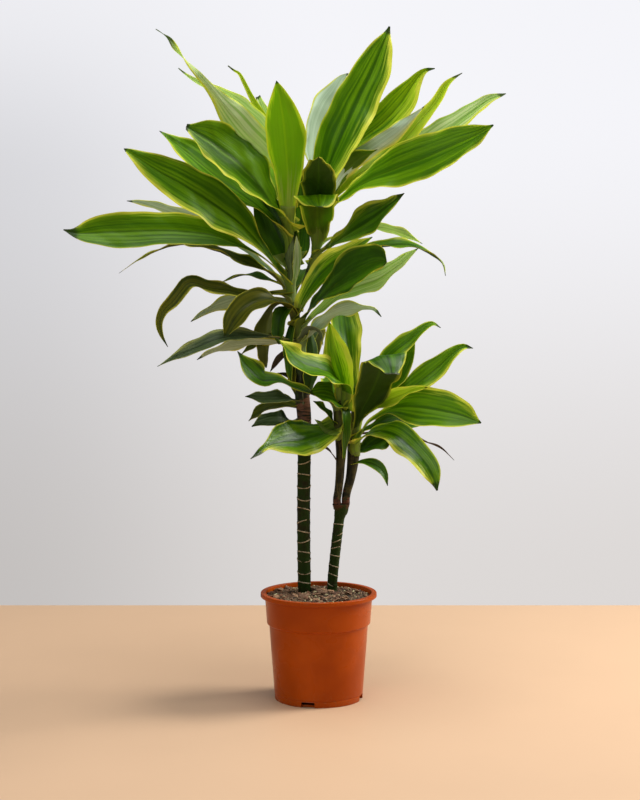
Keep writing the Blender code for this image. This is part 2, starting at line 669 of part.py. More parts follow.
def keep_main_body(mesh):
    """Drop loose scraps and the walls of hollows that fusing sealed, which fills them."""
    shape = bmesh.new()
    shape.from_mesh(mesh)
    bmesh.ops.remove_doubles(shape, verts=shape.verts, dist=2e-6)
    left, groups = set(shape.verts), []
    while left:
        group, queue = set(), [left.pop()]
        while queue:
            vert = queue.pop()
            group.add(vert)
            for edge in vert.link_edges:
                other = edge.other_vert(vert)
                if other in left:
                    left.discard(other)
                    queue.append(other)
        groups.append(group)
    main = max(groups, key=len)
    bmesh.ops.delete(shape, geom=[v for v in shape.verts if v not in main], context="VERTS")
    bmesh.ops.triangulate(shape, faces=shape.faces)
    shape.to_mesh(mesh)
    shape.free()


def fuse(obj, repeats, solver="EXACT"):
    """Join a collection's objects to the object with one union, then remove them."""
    union = obj.modifiers.new("fuse", "BOOLEAN")
    union.operation = "UNION"
    union.operand_type = "COLLECTION"
    union.collection = repeats
    union.solver = solver
    mesh = baked(obj)
    obj.modifiers.clear()
    obj.data = mesh
    for other in list(repeats.objects):
        bpy.data.objects.remove(other, do_unlink=True)
    bpy.data.collections.remove(repeats)
    keep_main_body(mesh)


def shoot(name, stem, leaves, finish, parts):
    """A leafy head: its green stem with every leaf sunk into it, as one body."""
    path, _ = smooth_path(stem.path, 2 * len(stem.path))
    shares = np.linspace(0, len(stem.radii) - 1, len(path))
    radii = np.interp(shares, range(len(stem.radii)), stem.radii) * MM
    obj = tube(name, path, radii, STEM_SIDES, parts)
    blades = new_collection(name + "_blades")
    for leaf_name, leaf in leaves.items():
        add_object(leaf_name, blade_mesh(leaf_name, leaf), blades)
    fuse(obj, blades)
    obj.data.materials.clear()
    obj.data.materials.append(finish)
    shade_round(obj.data)
    return obj


def cane(name, path, scars, radius, top_radius, finish, parts):
    """A bare cane that swells a little at each leaf scar."""
    line, _ = smooth_path(path, 60)
    heights = {line[0][2], line[-1][2] - 0.002, line[-1][2]}
    for scar in scars:
        heights |= {scar * MM - SCAR_HALF_HEIGHT, scar * MM, scar * MM + SCAR_HALF_HEIGHT}
    heights = sorted(h for h in heights if line[0][2] <= h <= line[-1][2])
    places = [[np.interp(h, line[:, 2], line[:, k]) for k in range(3)] for h in heights]
    radii = []
    for h in heights:
        swell = SCAR_SWELL if any(abs(h - scar * MM) < 1e-6 for scar in scars) else 1.0
        top = max(0.0, 1 - (line[-1][2] - h) / 0.02)
        radii.append(radius * swell + (top_radius - radius) * top)
    obj = tube(name, places, radii, CANE_SIDES, parts)
    obj.data.materials.append(finish)
    shade_round(obj.data, 50)
    return obj


def pot_profile():
    """Outer side top to bottom, then the underside: (radius, height)."""
    return [
        (RIM_RADIUS - 0.0012, POT_HEIGHT),
        (RIM_RADIUS, POT_HEIGHT - 0.0012),
        (RIM_RADIUS, POT_HEIGHT - LIP_HEIGHT + 0.0012),
        (RIM_RADIUS - 0.0012, POT_HEIGHT - LIP_HEIGHT),
        (COLLAR_TOP_RADIUS, POT_HEIGHT - LIP_HEIGHT - 0.0012),
        (COLLAR_FOOT_RADIUS, COLLAR_FOOT_HEIGHT + 0.0015),
        (COLLAR_FOOT_RADIUS - 0.001, COLLAR_FOOT_HEIGHT),
        (BODY_TOP_RADIUS, COLLAR_FOOT_HEIGHT - 0.002),
        (BASE_RADIUS + 0.0006, GROOVE_HEIGHT + 0.0012),
        (BASE_RADIUS + 0.0006 - GROOVE_DEPTH, GROOVE_HEIGHT),
        (BASE_RADIUS + 0.0004, GROOVE_HEIGHT - 0.0012),
        (BASE_RADIUS, 0.0015),
        (BASE_RADIUS - 0.0012, 0.0),
        (0.0, 0.0),
        (0.0, FLOOR),
        (BASE_RADIUS - WALL - 0.0015, FLOOR),
        (BASE_RADIUS - WALL, FLOOR + 0.003),
        (BODY_TOP_RADIUS - WALL, COLLAR_FOOT_HEIGHT - 0.004),
        (COLLAR_FOOT_RADIUS - WALL - 0.001, COLLAR_FOOT_HEIGHT),
        (COLLAR_TOP_RADIUS - WALL, POT_HEIGHT - LIP_HEIGHT),
        (COLLAR_TOP_RADIUS - WALL + 0.001, POT_HEIGHT),
    ]


def turned(name, profile, steps, collection):
    """A closed profile turned round the upright axis."""
    shape = bmesh.new()
    verts = [shape.verts.new((r, 0, z)) for r, z in profile]
    for a, b in zip(verts, verts[1:] + verts[:1]):
        shape.edges.new((a, b))
    mesh = bpy.data.meshes.new(name)
    shape.to_mesh(mesh)
    shape.free()
    obj = add_object(name, mesh, collection)
    screw = obj.modifiers.new("turn", "SCREW")
    screw.steps = screw.render_steps = steps
    screw.use_merge_vertices = True
    screw.merge_threshold = 1e-5
    screw.use_normal_calculate = True
    screw.use_smooth_shade = True
    return obj


def cut(obj, cutter, label):
    boolean = obj.modifiers.new(label, "BOOLEAN")
    boolean.operation = "DIFFERENCE"
    boolean.object = cutter
    boolean.solver = "EXACT"


def make_pot(parts, cutters, finish):
    pot = turned("pot", pot_profile(), POT_STEPS, parts)
    pot.data.materials.append(finish)
    for i in range(SLOT_COUNT):
        angle = math.radians(FIRST_SLOT_DEGREES + 360 / SLOT_COUNT * i)
        mesh = bpy.data.meshes.new(f"drain_slot_{i + 1}")
        box = bmesh.new()
        bmesh.ops.create_cube(box, size=1.0)
        turn = Matrix.Rotation(angle, 4, "Z")
        place = Matrix.Translation((BASE_RADIUS, 0, SLOT_HEIGHT / 2 - 0.001))
        size = Matrix.Diagonal((0.012, SLOT_WIDTH, SLOT_HEIGHT, 1))
        box.transform(turn @ place @ size)
        box.to_mesh(mesh)
        box.free()
        cutter = add_object(mesh.name, mesh, cutters)
        hide_cutter(cutter)
        cut(pot, cutter, mesh.name)
    return pot


def inner_radius(height):
    """The pot's inside radius at a height."""
    steps = [
        (FLOOR, BASE_RADIUS - WALL - 0.0015),
        (FLOOR + 0.003, BASE_RADIUS - WALL),
        (COLLAR_FOOT_HEIGHT - 0.004, BODY_TOP_RADIUS - WALL),
        (COLLAR_FOOT_HEIGHT, COLLAR_FOOT_RADIUS - WALL - 0.001),
        (POT_HEIGHT - LIP_HEIGHT, COLLAR_TOP_RADIUS - WALL),
    ]
    heights, radii = zip(*steps)
    return float(np.interp(height, heights, radii))


def soil_height(x, y):
    """The soil's surface: a low mound with shallow hollows."""
    r = math.hypot(x, y) / COLLAR_TOP_RADIUS
    bumps = 0.0012 * math.sin(95 * x + 1.0) * math.cos(80 * y) + 0.0009 * math.sin(190 * x - 150 * y)
    return SOIL_TOP + SOIL_MOUND * (1 - r * r) + bumps * (1 - r**4)


def make_soil(parts, cutters, finish):
    shape = bmesh.new()
    clear = GAP * 1.6
    levels = [COLLAR_FOOT_HEIGHT, COLLAR_FOOT_HEIGHT - 0.004, FLOOR + 0.003, SOIL_FOOT]
    rings = []
    edge_radius = inner_radius(SOIL_TOP) - clear
    for k in range(1, SOIL_RINGS + 1):
        ring = []
        for i in range(SOIL_STEPS):
            a = 2 * math.pi * i / SOIL_STEPS
            r = edge_radius * k / SOIL_RINGS
            x, y = r * math.cos(a), r * math.sin(a)
            ring.append(shape.verts.new((x, y, SOIL_TOP if k == SOIL_RINGS else soil_height(x, y))))
        rings.append(ring)
    for height in levels:
        r = inner_radius(height) - clear
        rings.append(
            [
                shape.verts.new((r * math.cos(a), r * math.sin(a), height))
                for a in (2 * math.pi * i / SOIL_STEPS for i in range(SOIL_STEPS))
            ]
        )
    top = shape.verts.new((0, 0, soil_height(0, 0)))
    foot = shape.verts.new((0, 0, SOIL_FOOT))
    for i in range(SOIL_STEPS):
        j = (i + 1) % SOIL_STEPS
        shape.faces.new((top, rings[0][i], rings[0][j]))
        shape.faces.new((foot, rings[-1][j], rings[-1][i]))
        for near, far in zip(rings, rings[1:]):
            shape.faces.new((near[i], far[i], far[j], near[j]))
    bmesh.ops.triangulate(shape, faces=shape.faces)
    bmesh.ops.recalc_face_normals(shape, faces=shape.faces)
    mesh = bpy.data.meshes.new("soil")
    shape.to_mesh(mesh)
    shape.free()
    soil = add_object("soil", mesh, parts)
    fuse(soil, bark_chips())
    for name, path, radius in (
        ("tall_cane_hole", TALL_CANE, TALL_CANE_RADIUS),
        ("short_cane_hole", SHORT_CANE, SHORT_CANE_RADIUS),
    ):
        start = Vector(path[0]) * MM
        hole = tube(name, [(start.x, start.y, start.z - 2 * GAP), (start.x, start.y, POT_HEIGHT + 0.01)],
                    [radius * SCAR_SWELL + 2 * GAP] * 2, CANE_SIDES + 2, cutters)
        hide_cutter(hole)
        cut(soil, hole, name)
    soil.data.materials.clear()
    soil.data.materials.append(finish)
    return soil


def bark_chips():
    """Bark and clods lying half sunk in the soil, clear of the canes."""
    chips = new_collection("bark_chips")
    draw = random.Random(CHIP_SEED)
    canes = [Vector(TALL_CANE[1]) * MM, Vector(SHORT_CANE[1]) * MM]
    while len(chips.objects) < CHIP_COUNT:
        r, a = (COLLAR_TOP_RADIUS - 0.013) * math.sqrt(draw.random()), draw.uniform(0, 2 * math.pi)
        size = draw.uniform(0.0022, 0.0052)
        spin = [draw.uniform(0, math.pi) for _ in range(3)]
        shape_of = [draw.uniform(0.9, 1.7), draw.uniform(0.7, 1.0), draw.uniform(0.45, 0.8)]
        x, y = r * math.cos(a), r * math.sin(a)
        if any(math.hypot(x - c.x, y - c.y) < 0.016 + size for c in canes):
            continue
        clod = bmesh.new()
        bmesh.ops.create_icosphere(clod, subdivisions=1, radius=size)
        turn = Matrix.Rotation(spin[2], 4, "Z") @ Matrix.Rotation(0.3 * spin[0], 4, "X")
        place = Matrix.Translation((x, y, soil_height(x, y) + size * 0.15))
        clod.transform(place @ turn @ Matrix.Diagonal((*shape_of, 1)))
        mesh = bpy.data.meshes.new("chip")
        clod.to_mesh(mesh)
        clod.free()
        add_object("chip", mesh, chips)
    return chips


def main():
    clear_scene()
    parts = new_collection("potted_corn_plant")
    cutters = new_collection("cutters")
    terracotta = material("terracotta_plastic", (0.52, 0.13, 0.035), 0.42)
    earth = material("potting_soil", (0.09, 0.06, 0.045), 0.95)
    bark = material("cane_bark", (0.05, 0.075, 0.03), 0.7)
    leaf_green = material("leaf_green", (0.07, 0.22, 0.03), 0.35)
    make_pot(parts, cutters, terracotta)
    make_soil(parts, cutters, earth)
    cane("tall_cane", TALL_CANE, TALL_SCARS, TALL_CANE_RADIUS, TALL_CANE_RADIUS, bark, parts)
    cane("short_cane", SHORT_CANE, SHORT_SCARS, SHORT_CANE_RADIUS, 0.0128, bark, parts)
    shoot("tall_left_head", TALL_LEFT_STEM, TALL_LEFT_LEAVES, leaf_green, parts)
    shoot("tall_right_head", TALL_RIGHT_STEM, TALL_RIGHT_LEAVES, leaf_green, parts)
    shoot("short_left_head", SHORT_LEFT_STEM, SHORT_LEFT_LEAVES, leaf_green, parts)
    shoot("short_right_head", SHORT_RIGHT_STEM, SHORT_RIGHT_LEAVES, leaf_green, parts)


if __name__ == "__main__":
    main()
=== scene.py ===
"""Looks of a potted corn plant: a dracaena with leafy shoots on two bare canes, in a nursery pot.

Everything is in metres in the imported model's frame, with +Z up and -Y towards the camera. The leaf,
stem and cane tables are in millimetres and repeat the solids' own values.
"""

import logging
import math
import random
from collections.abc import Iterable
from dataclasses import dataclass
from enum import Enum
from functools import cache
from typing import Any

import bmesh
import bpy
import numpy as np
from bpy.types import Material, Node, NodeSocket, NodeTree, Object
from mathutils import Matrix, Quaternion, Vector


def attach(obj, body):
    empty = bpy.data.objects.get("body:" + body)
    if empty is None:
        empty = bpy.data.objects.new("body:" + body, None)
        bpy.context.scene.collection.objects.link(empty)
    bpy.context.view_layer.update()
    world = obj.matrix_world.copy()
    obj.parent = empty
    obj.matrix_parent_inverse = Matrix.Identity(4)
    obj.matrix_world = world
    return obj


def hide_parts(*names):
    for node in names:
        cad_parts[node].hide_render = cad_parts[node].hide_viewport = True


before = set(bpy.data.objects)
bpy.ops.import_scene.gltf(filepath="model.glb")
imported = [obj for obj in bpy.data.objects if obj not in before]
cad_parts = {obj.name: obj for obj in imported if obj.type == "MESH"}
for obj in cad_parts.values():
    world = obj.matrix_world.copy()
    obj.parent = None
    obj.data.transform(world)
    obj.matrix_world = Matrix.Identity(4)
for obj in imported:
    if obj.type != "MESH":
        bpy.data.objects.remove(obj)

log = logging.getLogger("potted_corn_plant")

MM = 0.001
BODY = "root"
PIXELS_HIGH = 800
FOCAL_PIXELS = 1801.0
SENSOR_HEIGHT = 36.0
CAMERA_PLACE = (0.002, -2.6, 0.669)
CAMERA_PITCH_DOWN = 5.06
THINNEST_HALF_WIDTH = 0.0004
CANE_STATIONS = 240
STEM_STATIONS = 120
SHARP_EDGE = math.radians(60)
STEPS_PER_KNOT = 16
BLACK = (0.0, 0.0, 0.0)
MIDDLE = (0.5, 0.5, 0.5)

Point = tuple[float, float, float]
Colour = tuple[float, float, float]


class Tone(Enum):
    """The finish that a leaf wears, by its age and by how the light reaches it. The deep and grey finishes
    carry painted shade for leaves that lie in shadow.
    """

    GREEN = "green"
    GLOSSY = "glossy"
    DEEP = "deep"
    BRIGHT = "bright"
    LIME = "lime"
    BLUE = "blue"
    PALE = "pale"
    GREY = "grey"
    OLIVE = "olive"
    DRIED = "dried"


def eased(values: tuple[float, ...], t: float) -> float:
    """Read a smooth curve through evenly spaced values.

    Args:
        values: the values.
        t: the share of their span, from 0 to 1.

    Returns:
        The curve's value there.
    """
    place = t * (len(values) - 1)
    i = min(int(place), len(values) - 2)
    u = place - i
    before, a, b, after = values[max(i - 1, 0)], values[i], values[i + 1], values[min(i + 2, len(values) - 1)]
    bend = 2 * before - 5 * a + 4 * b - after + u * (3 * (a - b) + after - before)
    return a + 0.5 * u * (b - before + u * bend)


@dataclass(frozen=True)
class Stem:
    """A shoot's bare stem.

    Attributes:
        path: the centre line in millimetres.
        radii: the radii in millimetres at even steps from the foot to the growing point.
    """

    path: tuple[Point, ...]
    radii: tuple[float, ...]


@dataclass(frozen=True)
class Leaf:
    """A leaf's midrib in millimetres from the stem to the tip, and how its blade is shaped.

    Attributes:
        path: the midrib's points.
        width: the blade's widest width in millimetres.
        roll: how far the upper face is turned about the midrib at even steps from root to tip, in
            degrees. Plus turns it to the left of the way that the leaf grows.
        belly: where along the midrib the blade is widest.
        shoulder: how late it widens to there.
        taper: how drawn out the tip is.
        neck: the width near the root as a share of the widest.
        fold: the rise of each half towards its margin, in degrees.
        wave: the height of the margin's long waves in millimetres.
        waves: their number.
        spread: the width at even steps from root to tip as shares of the widest, for a blade whose
            outline belly, shoulder, taper and neck don't draw.
        tone: the leaf's finish.
        margins: the width of the yellow band on the left and on the right side, in millimetres.
        base: how strongly the blade pales to cream towards its root, from 0 to 1.
        tip: the length of the dark tip in millimetres.
        ruffle: the strength of the short waves at the margin.
    """

    path: tuple[Point, ...]
    width: float
    roll: tuple[float, ...] = (0, 0, 0)
    belly: float = 0.56
    shoulder: float = 1.0
    taper: float = 1.0
    neck: float = 0.36
    fold: float = 14.0
    wave: float = 2.5
    waves: float = 2.5
    spread: tuple[float, ...] = ()
    tone: Tone = Tone.GREEN
    margins: tuple[float, float] = (1.2, 1.2)
    base: float = 0.35
    tip: float = 5.0
    ruffle: float = 1.0

    def half_width(self, t: float) -> float:
        """Half the blade's width.

        Args:
            t: the share of the midrib, from 0 at the root to 1 at the tip.

        Returns:
            The half width in metres.
        """
        if self.spread:
            return max(self.width * eased(self.spread, t) / 2 * MM, THINNEST_HALF_WIDTH)
        if t < self.belly:
            share = math.sin(math.pi / 2 * t / self.belly) ** (2 * self.shoulder)
        else:
            past = min(1.0, (t - self.belly) / (1 - self.belly))
            share = max(0.0, math.cos(math.pi / 2 * past)) ** self.taper
        narrowest = self.neck * min(1.0, 0.6 + 4 * t) * (1 - min(1.0, t / self.belly) ** 2)
        half = self.width * (narrowest + (1 - narrowest) * share) / 2 * MM
        return max(half, THINNEST_HALF_WIDTH)


TALL_CANE_LINE = ((-21, 18, 92), (-21, 18, 155), (-22, 17, 260), (-21, 16, 360), (-21, 16, 377))
TALL_SCARS = (168, 184, 203, 213, 231, 244, 258, 277, 293, 311, 328, 347, 360)
SHORT_CANE_LINE = (
    (20, 25, 92), (20, 25, 160), (25, 25, 215), (30.5, 24, 262), (33, 24, 273), (33, 24, 278), (33, 24, 283),
)
SHORT_SCARS = (164, 178, 192, 207, 218, 229, 240, 253, 266)

TALL_LEFT_STEM = Stem(
    ((-21, 16, 377.4), (-21, 16, 410), (-24, 16, 445), (-26, 16, 480), (-31, 18, 540),
     (-39, 19, 585), (-42, 16, 680), (-44, 14, 697)),
    (9.4, 10.4, 10.6, 10.2, 8.0, 6.7, 7.0, 7.4, 5.6),
)
TALL_RIGHT_STEM = Stem(
    ((-26.6, 23.7, 566), (-22, 26, 600), (-11, 29, 635), (-2, 31, 665), (0, 31, 700), (0, 31, 716)),
    (4.2, 4.6),
)
SHORT_LEFT_STEM = Stem(
    ((27, 22, 283.5), (27, 22, 292), (29, 21, 304), (31, 19, 325), (32, 18, 345), (33, 16, 365),
     (32, 13, 395), (31, 10, 416), (30, 8, 438)),
    (5.9, 5.9, 6.2, 6.6, 7.6, 8.6, 9.4, 8.6, 5.5),
)
SHORT_RIGHT_STEM = Stem(
    ((40, 26, 283.5), (40, 26, 292), (42, 26, 303), (46, 27, 318), (49, 28, 335), (51, 29, 355),
     (52, 30, 380), (54, 31, 405), (56, 32, 425), (58, 32, 438)),
    (6.0, 6.2, 7.0, 8.2, 9.2, 9.6, 9.0, 7.4, 4.6),
)

TALL_LEFT_LEAVES: dict[str, Leaf] = {
    "high_twisted": Leaf(
        ((-44, 13, 686), (-50, 14, 734), (-57, 8, 769), (-75, -12, 796), (-100, -38, 820), (-124, -56, 848),
        (-148, -68, 877), (-170, -76, 902), (-184, -80, 918), (-197, -84, 934), (-206, -85, 946),
        (-215, -86, 953), (-224, -86, 959)), 46, (-30, -50, -65, -70, -72, -76, -85, -200, -380), fold=8,
        spread=(0.25, 0.2, 0.2, 0.24, 0.42, 0.8, 1, 0.96, 0.78, 0.48, 0.26, 0.2, 0.2, 0.15, 0.02),
        tone=Tone.PALE, margins=(1.2, 4), tip=34,
    ),
    "behind_twisted": Leaf(
        ((-44, 15, 686), (-59, 35, 770), (-82, 46, 825), (-106, 54, 852), (-132, 58, 874), (-162, 60, 892),
        (-185, 62, 904), (-197, 63, 913), (-205, 64, 920)), 38, (-20, -50, -50), spread=(0.3, 0.35, 0.5, 0.8,
        1, 1, 0.72, 0.3, 0.03), tone=Tone.PALE, margins=(1, 1), tip=13,
    ),
    "lime_narrow": Leaf(
        ((-41, 15, 690), (-55, 60, 779), (-69, 85, 824), (-84, 100, 853), (-99, 112, 880), (-110, 120, 902),
        (-118, 126, 917), (-127, 130, 923), (-136, 133, 930)), 17, (0, 60, 70), spread=(0.4, 0.5, 0.7, 1, 1,
        0.85, 0.55, 0.38, 0.1), tone=Tone.LIME, margins=(2.5, 1), tip=14,
    ),
    "small_behind": Leaf(
        ((-41, 15, 690), (-51, 60, 765), (-69, 100, 825), (-83, 125, 864), (-91, 138, 885)), 24, (0, 40, 50),
        spread=(0.4, 0.6, 0.85, 1, 1, 0.85, 0.3), tone=Tone.PALE, margins=(1, 1),
    ),
    "upright_bright": Leaf(
        ((-44, 12, 690), (-45, -5, 725), (-44, -25, 765), (-48, -55, 825), (-53, -75, 862), (-58, -92, 888)),
        57, belly=0.62, taper=0.95, fold=10, tone=Tone.BRIGHT, margins=(2, 2.6), base=1,
    ),
    "dark_foreshortened": Leaf(
        ((-44, 12, 680), (-65, -4, 718), (-89, -22, 752), (-119, -45, 783), (-151, -72, 807),
        (-182, -98, 825)), 74, (20, 75, 85), spread=(0.5, 0.72, 0.92, 1, 1, 0.97, 0.88, 0.65, 0.12),
        margins=(4, 1), ruffle=1.8,
    ),
    "behind_long_left": Leaf(
        ((-42, 15, 670), (-81, 15, 713), (-136, 10, 753), (-176, 0, 785), (-206, -10, 808), (-226, -20, 824)),
        60, (20, 50, 55), neck=0.6, margins=(2.6, 1),
    ),
    "long_left": Leaf(
        ((-42, 14, 605), (-60, 0, 630), (-82, -20, 661), (-110, -40, 693), (-149, -60, 721), (-186, -80, 745),
        (-230, -90, 770), (-268, -100, 795)), 66, (30, 80, 80), shoulder=1.45, taper=0.75, neck=0.28, fold=8,
        margins=(4, 1.2), ruffle=0.6,
    ),
    "blue_behind": Leaf(
        ((-40, 20, 600), (-75, 40, 628), (-110, 60, 655), (-155, 78, 683), (-206, 92, 705), (-241, 100, 718),
        (-267, 106, 725), (-287, 110, 728)), 38, (0, -45, -50), tone=Tone.BLUE, margins=(1, 4), tip=10,
    ),
    "far_left": Leaf(
        ((-40, 16, 600), (-65, 5, 632), (-100, -5, 656), (-145, -20, 675), (-190, -35, 682), (-240, -50, 683),
        (-300, -60, 681), (-338, -70, 679), (-356, -76, 684)), 54, (10, 60, 70), spread=(0.12, 0.12, 0.14,
        0.32, 0.66, 0.87, 0.96, 1, 1, 0.93, 0.6, 0.03), margins=(0.8, 2.6), tip=24, ruffle=0.7,
    ),
    "wavy_thin": Leaf(
        ((-40, 20, 590), (-70, 40, 620), (-98, 50, 633), (-122, 60, 642), (-155, 75, 656), (-190, 90, 664),
        (-235, 100, 656), (-270, 110, 640), (-300, 112, 620)), 36, (0, 15, 20), belly=0.4, shoulder=0.8,
        taper=1.5, neck=0.5, wave=4, waves=3.5, tone=Tone.OLIVE, margins=(0.8, 1.7), tip=8,
    ),
    "kinked_droop": Leaf(
        ((-39, 16, 590), (-73, 2, 592), (-106, -10, 593), (-134, -24, 598), (-158, -36, 603),
        (-174, -44, 609), (-185, -49, 608), (-194, -54, 598), (-206, -58, 583), (-218, -62, 571),
        (-224, -66, 554), (-221, -69, 537), (-212, -71, 520)), 23, (10, 50, 60), wave=3, spread=(0.5, 0.55,
        0.7, 0.9, 1, 1, 1, 0.9, 0.6, 0.35, 0.04), tone=Tone.OLIVE, margins=(1.6, 1), tip=14,
    ),
    "small_mid_left": Leaf(
        ((-40, 24, 600), (-85, 50, 615), (-110, 70, 618), (-135, 85, 610), (-155, 92, 603)), 20, (0, 15, 15),
        neck=0.5, tone=Tone.DEEP, margins=(0.6, 0.6),
    ),
    "blue_mid_left": Leaf(
        ((-39, 17, 582), (-80, 24, 584), (-115, 26, 581), (-145, 22, 573), (-165, 14, 564), (-185, 6, 552)),
        29, (0, -40, -45), tone=Tone.BLUE, margins=(1, 3.4),
    ),
    "curled_olive": Leaf(
        ((-33, 14, 550), (-44, 0, 571), (-62, -16, 583), (-84, -30, 584), (-104, -42, 575), (-118, -50, 560),
        (-127, -54, 545), (-131, -56, 534)), 36, (0, 40, 50), fold=24, wave=4, waves=2, spread=(0.4, 0.5, 0.6,
        0.75, 0.95, 1, 0.8, 0.15), tone=Tone.OLIVE, margins=(0.5, 0.5), ruffle=1.6,
    ),
    "low_left_long": Leaf(
        ((-31, 16, 522), (-66, -10, 530), (-109, -30, 534), (-147, -50, 529), (-186, -65, 513),
        (-226, -80, 493)), 31, (0, 35, 40), taper=1.2, tone=Tone.GREY, margins=(1, 3),
    ),
    "low_left_blue": Leaf(
        ((-30, 20, 520), (-80, 10, 521), (-120, 0, 517), (-150, -10, 510), (-175, -15, 498)), 40, (0, -30,
        -30), tone=Tone.BLUE, margins=(1, 2.5), tip=10,
    ),
    "hanging_olive": Leaf(
        ((-34, 19, 560), (-48, 32, 575), (-62, 42, 574), (-74, 52, 557), (-78, 62, 531), (-78, 72, 504),
        (-78, 80, 480)), 42, spread=(0.2, 0.36, 0.6, 0.85, 1, 1, 0.95, 0.7, 0.05), tone=Tone.OLIVE,
        margins=(0.5, 0.5),
    ),
    "hanging_small": Leaf(
        ((-29, 20, 515), (-66, 60, 522), (-93, 85, 517), (-117, 96, 498)), 26, (0, 50, 60), tone=Tone.OLIVE,
        margins=(0.3, 0.3),
    ),
    "dried_curl": Leaf(
        ((-28, 16, 510), (-45, 5, 508), (-58, 0, 498), (-70, 0, 480)), 11, (0, 40, 60), wave=0,
        tone=Tone.DRIED, margins=(1, 1),
    ),
    "dark_spike": Leaf(
        ((-24, 16, 448), (-35, 10, 465), (-47, 5, 474), (-60, 0, 478)), 12, (0, 40, 40), wave=0,
        tone=Tone.DRIED, margins=(1, 1), base=0,
    ),
    "low_grey": Leaf(
        ((-21, 16, 432), (-44, 5, 440), (-70, -5, 441), (-90, -10, 443), (-106, -14, 445)), 29, (0, 35, 40),
        tone=Tone.GREY, margins=(0.8, 0.8), base=0, tip=9,
    ),
    "low_green": Leaf(
        ((-21, 18, 422), (-50, 35, 428), (-78, 48, 422), (-104, 60, 402)), 36, (0, 30, 40), spread=(0.6, 0.85,
        1, 1, 0.9, 0.6, 0.05), tone=Tone.OLIVE, margins=(0.3, 0.3), base=0,
    ),
    "low_pale": Leaf(
        ((-20, 16, 398), (-45, -5, 406), (-72, -20, 410), (-96, -30, 403)), 38, (0, 35, 30), spread=(0.6,
        0.85, 1, 1, 0.85, 0.5, 0.05), tone=Tone.GREY, margins=(0.8, 0.8), base=0,
    ),
    "broad_right": Leaf(
        ((-30, 14, 540), (-10, -15, 572), (15, -45, 600), (42, -80, 622), (68, -115, 636), (84, -145, 642),
        (92, -165, 640)), 64, (-20, -75, -70), belly=0.66, shoulder=0.9, taper=0.55, neck=0.5, tone=Tone.DEEP,
        margins=(1.6, 1.5), base=0.3,
    ),
    "behind_broad": Leaf(
        ((-33, 13, 550), (-20, -5, 588), (4, -8, 622), (38, 6, 650), (78, 22, 674)), 38, (0, -60, -60),
        neck=0.6, margins=(5, 1.5), base=0.8,
    ),
    "light_right": Leaf(
        ((-30, 16, 535), (5, 5, 570), (42, -5, 597), (83, -10, 613), (113, -15, 633), (142, -20, 658)), 50,
        (0, -45, -45), tone=Tone.PALE, margins=(1, 1),
    ),
    "pale_right": Leaf(
        ((-29, 14, 511), (-11, -2, 534), (6, -14, 552), (23, -22, 565), (42, -30, 571), (60, -36, 572),
        (78, -40, 572), (89, -43, 561)), 27, (0, 38, 40), wave=5, waves=3, tone=Tone.BLUE, margins=(1.5, 1),
        tip=12,
    ),
    "hidden_back": Leaf(
        ((-42, 18, 680), (-50, 65, 740), (-60, 125, 785), (-70, 190, 812), (-80, 250, 825)), 54, margins=(2,
        2),
    ),
    "hidden_low_back": Leaf(
        ((-40, 22, 590), (-32, 80, 615), (-25, 140, 625), (-18, 200, 610), (-12, 235, 580)), 48, margins=(2,
        1.5),
    ),
    "hidden_low": Leaf(
        ((-29, 22, 505), (-20, 75, 520), (-12, 135, 530), (-5, 190, 515), (0, 220, 490)), 44, tone=Tone.DEEP,
        margins=(1.5, 2),
    ),
    "inner_dark": Leaf(
        ((-41, 17, 628), (-54, 20, 668), (-72, 24, 708), (-92, 28, 740)), 54, (50, 80, 80), spread=(0.5, 0.85,
        1, 0.95, 0.7, 0.1), tone=Tone.DEEP, margins=(0.4, 0.4),
    ),
    "inner_back": Leaf(
        ((-41, 18, 628), (-30, 30, 655), (-26, 40, 690), (-25, 48, 730), (-25, 54, 765)), 42, spread=(0.5,
        0.85, 1, 0.95, 0.7, 0.1), tone=Tone.DEEP, margins=(0.4, 0.4),
    ),
    "pale_tongue": Leaf(
        ((-37, 15, 600), (-32, 4, 625), (-30, 0, 650), (-32, -2, 677)), 13, tone=Tone.PALE, margins=(0.6,
        0.6), tip=2,
    ),
    "grey_fold": Leaf(
        ((-29, 14, 520), (-14, -6, 539), (-3, -13, 541), (4, -17, 531), (6, -20, 519)), 20, (0, 25, 25),
        neck=0.7, wave=3, tone=Tone.GREY, margins=(0.3, 0.3),
    ),
    "hanging_sheath": Leaf(
        ((-31, 16, 546), (-38, 5, 544), (-43, -2, 522), (-43, -4, 492), (-39, -3, 462)), 15, spread=(0.6, 0.9,
        1, 1, 0.7, 0.1), tone=Tone.DEEP, margins=(0.2, 0.2), base=0,
    ),
    "dried_scrap": Leaf(
        ((-27, 15, 505), (-36, 6, 494), (-39, 2, 470), (-34, 2, 446)), 12, (0, 40, 40), neck=0.6,
        tone=Tone.OLIVE, margins=(0.2, 0.2), base=0,
    ),
    "left_sheath": Leaf(
        ((-31, 15, 566), (-44, 2, 572), (-54, -6, 560), (-58, -8, 538), (-56, -6, 520)), 24, (0, 20, 20),
        spread=(0.6, 0.9, 1, 1, 0.8, 0.2), tone=Tone.DEEP, margins=(0.2, 0.2), base=0,
    ),
    "right_sheath": Leaf(
        ((-20, 14, 436), (-11, 5, 468), (-8, 1, 505), (-12, 2, 540)), 21, spread=(0.8, 1, 1, 0.9, 0.3),
        tone=Tone.DEEP, margins=(0.2, 0.2), base=0,
    ),
}

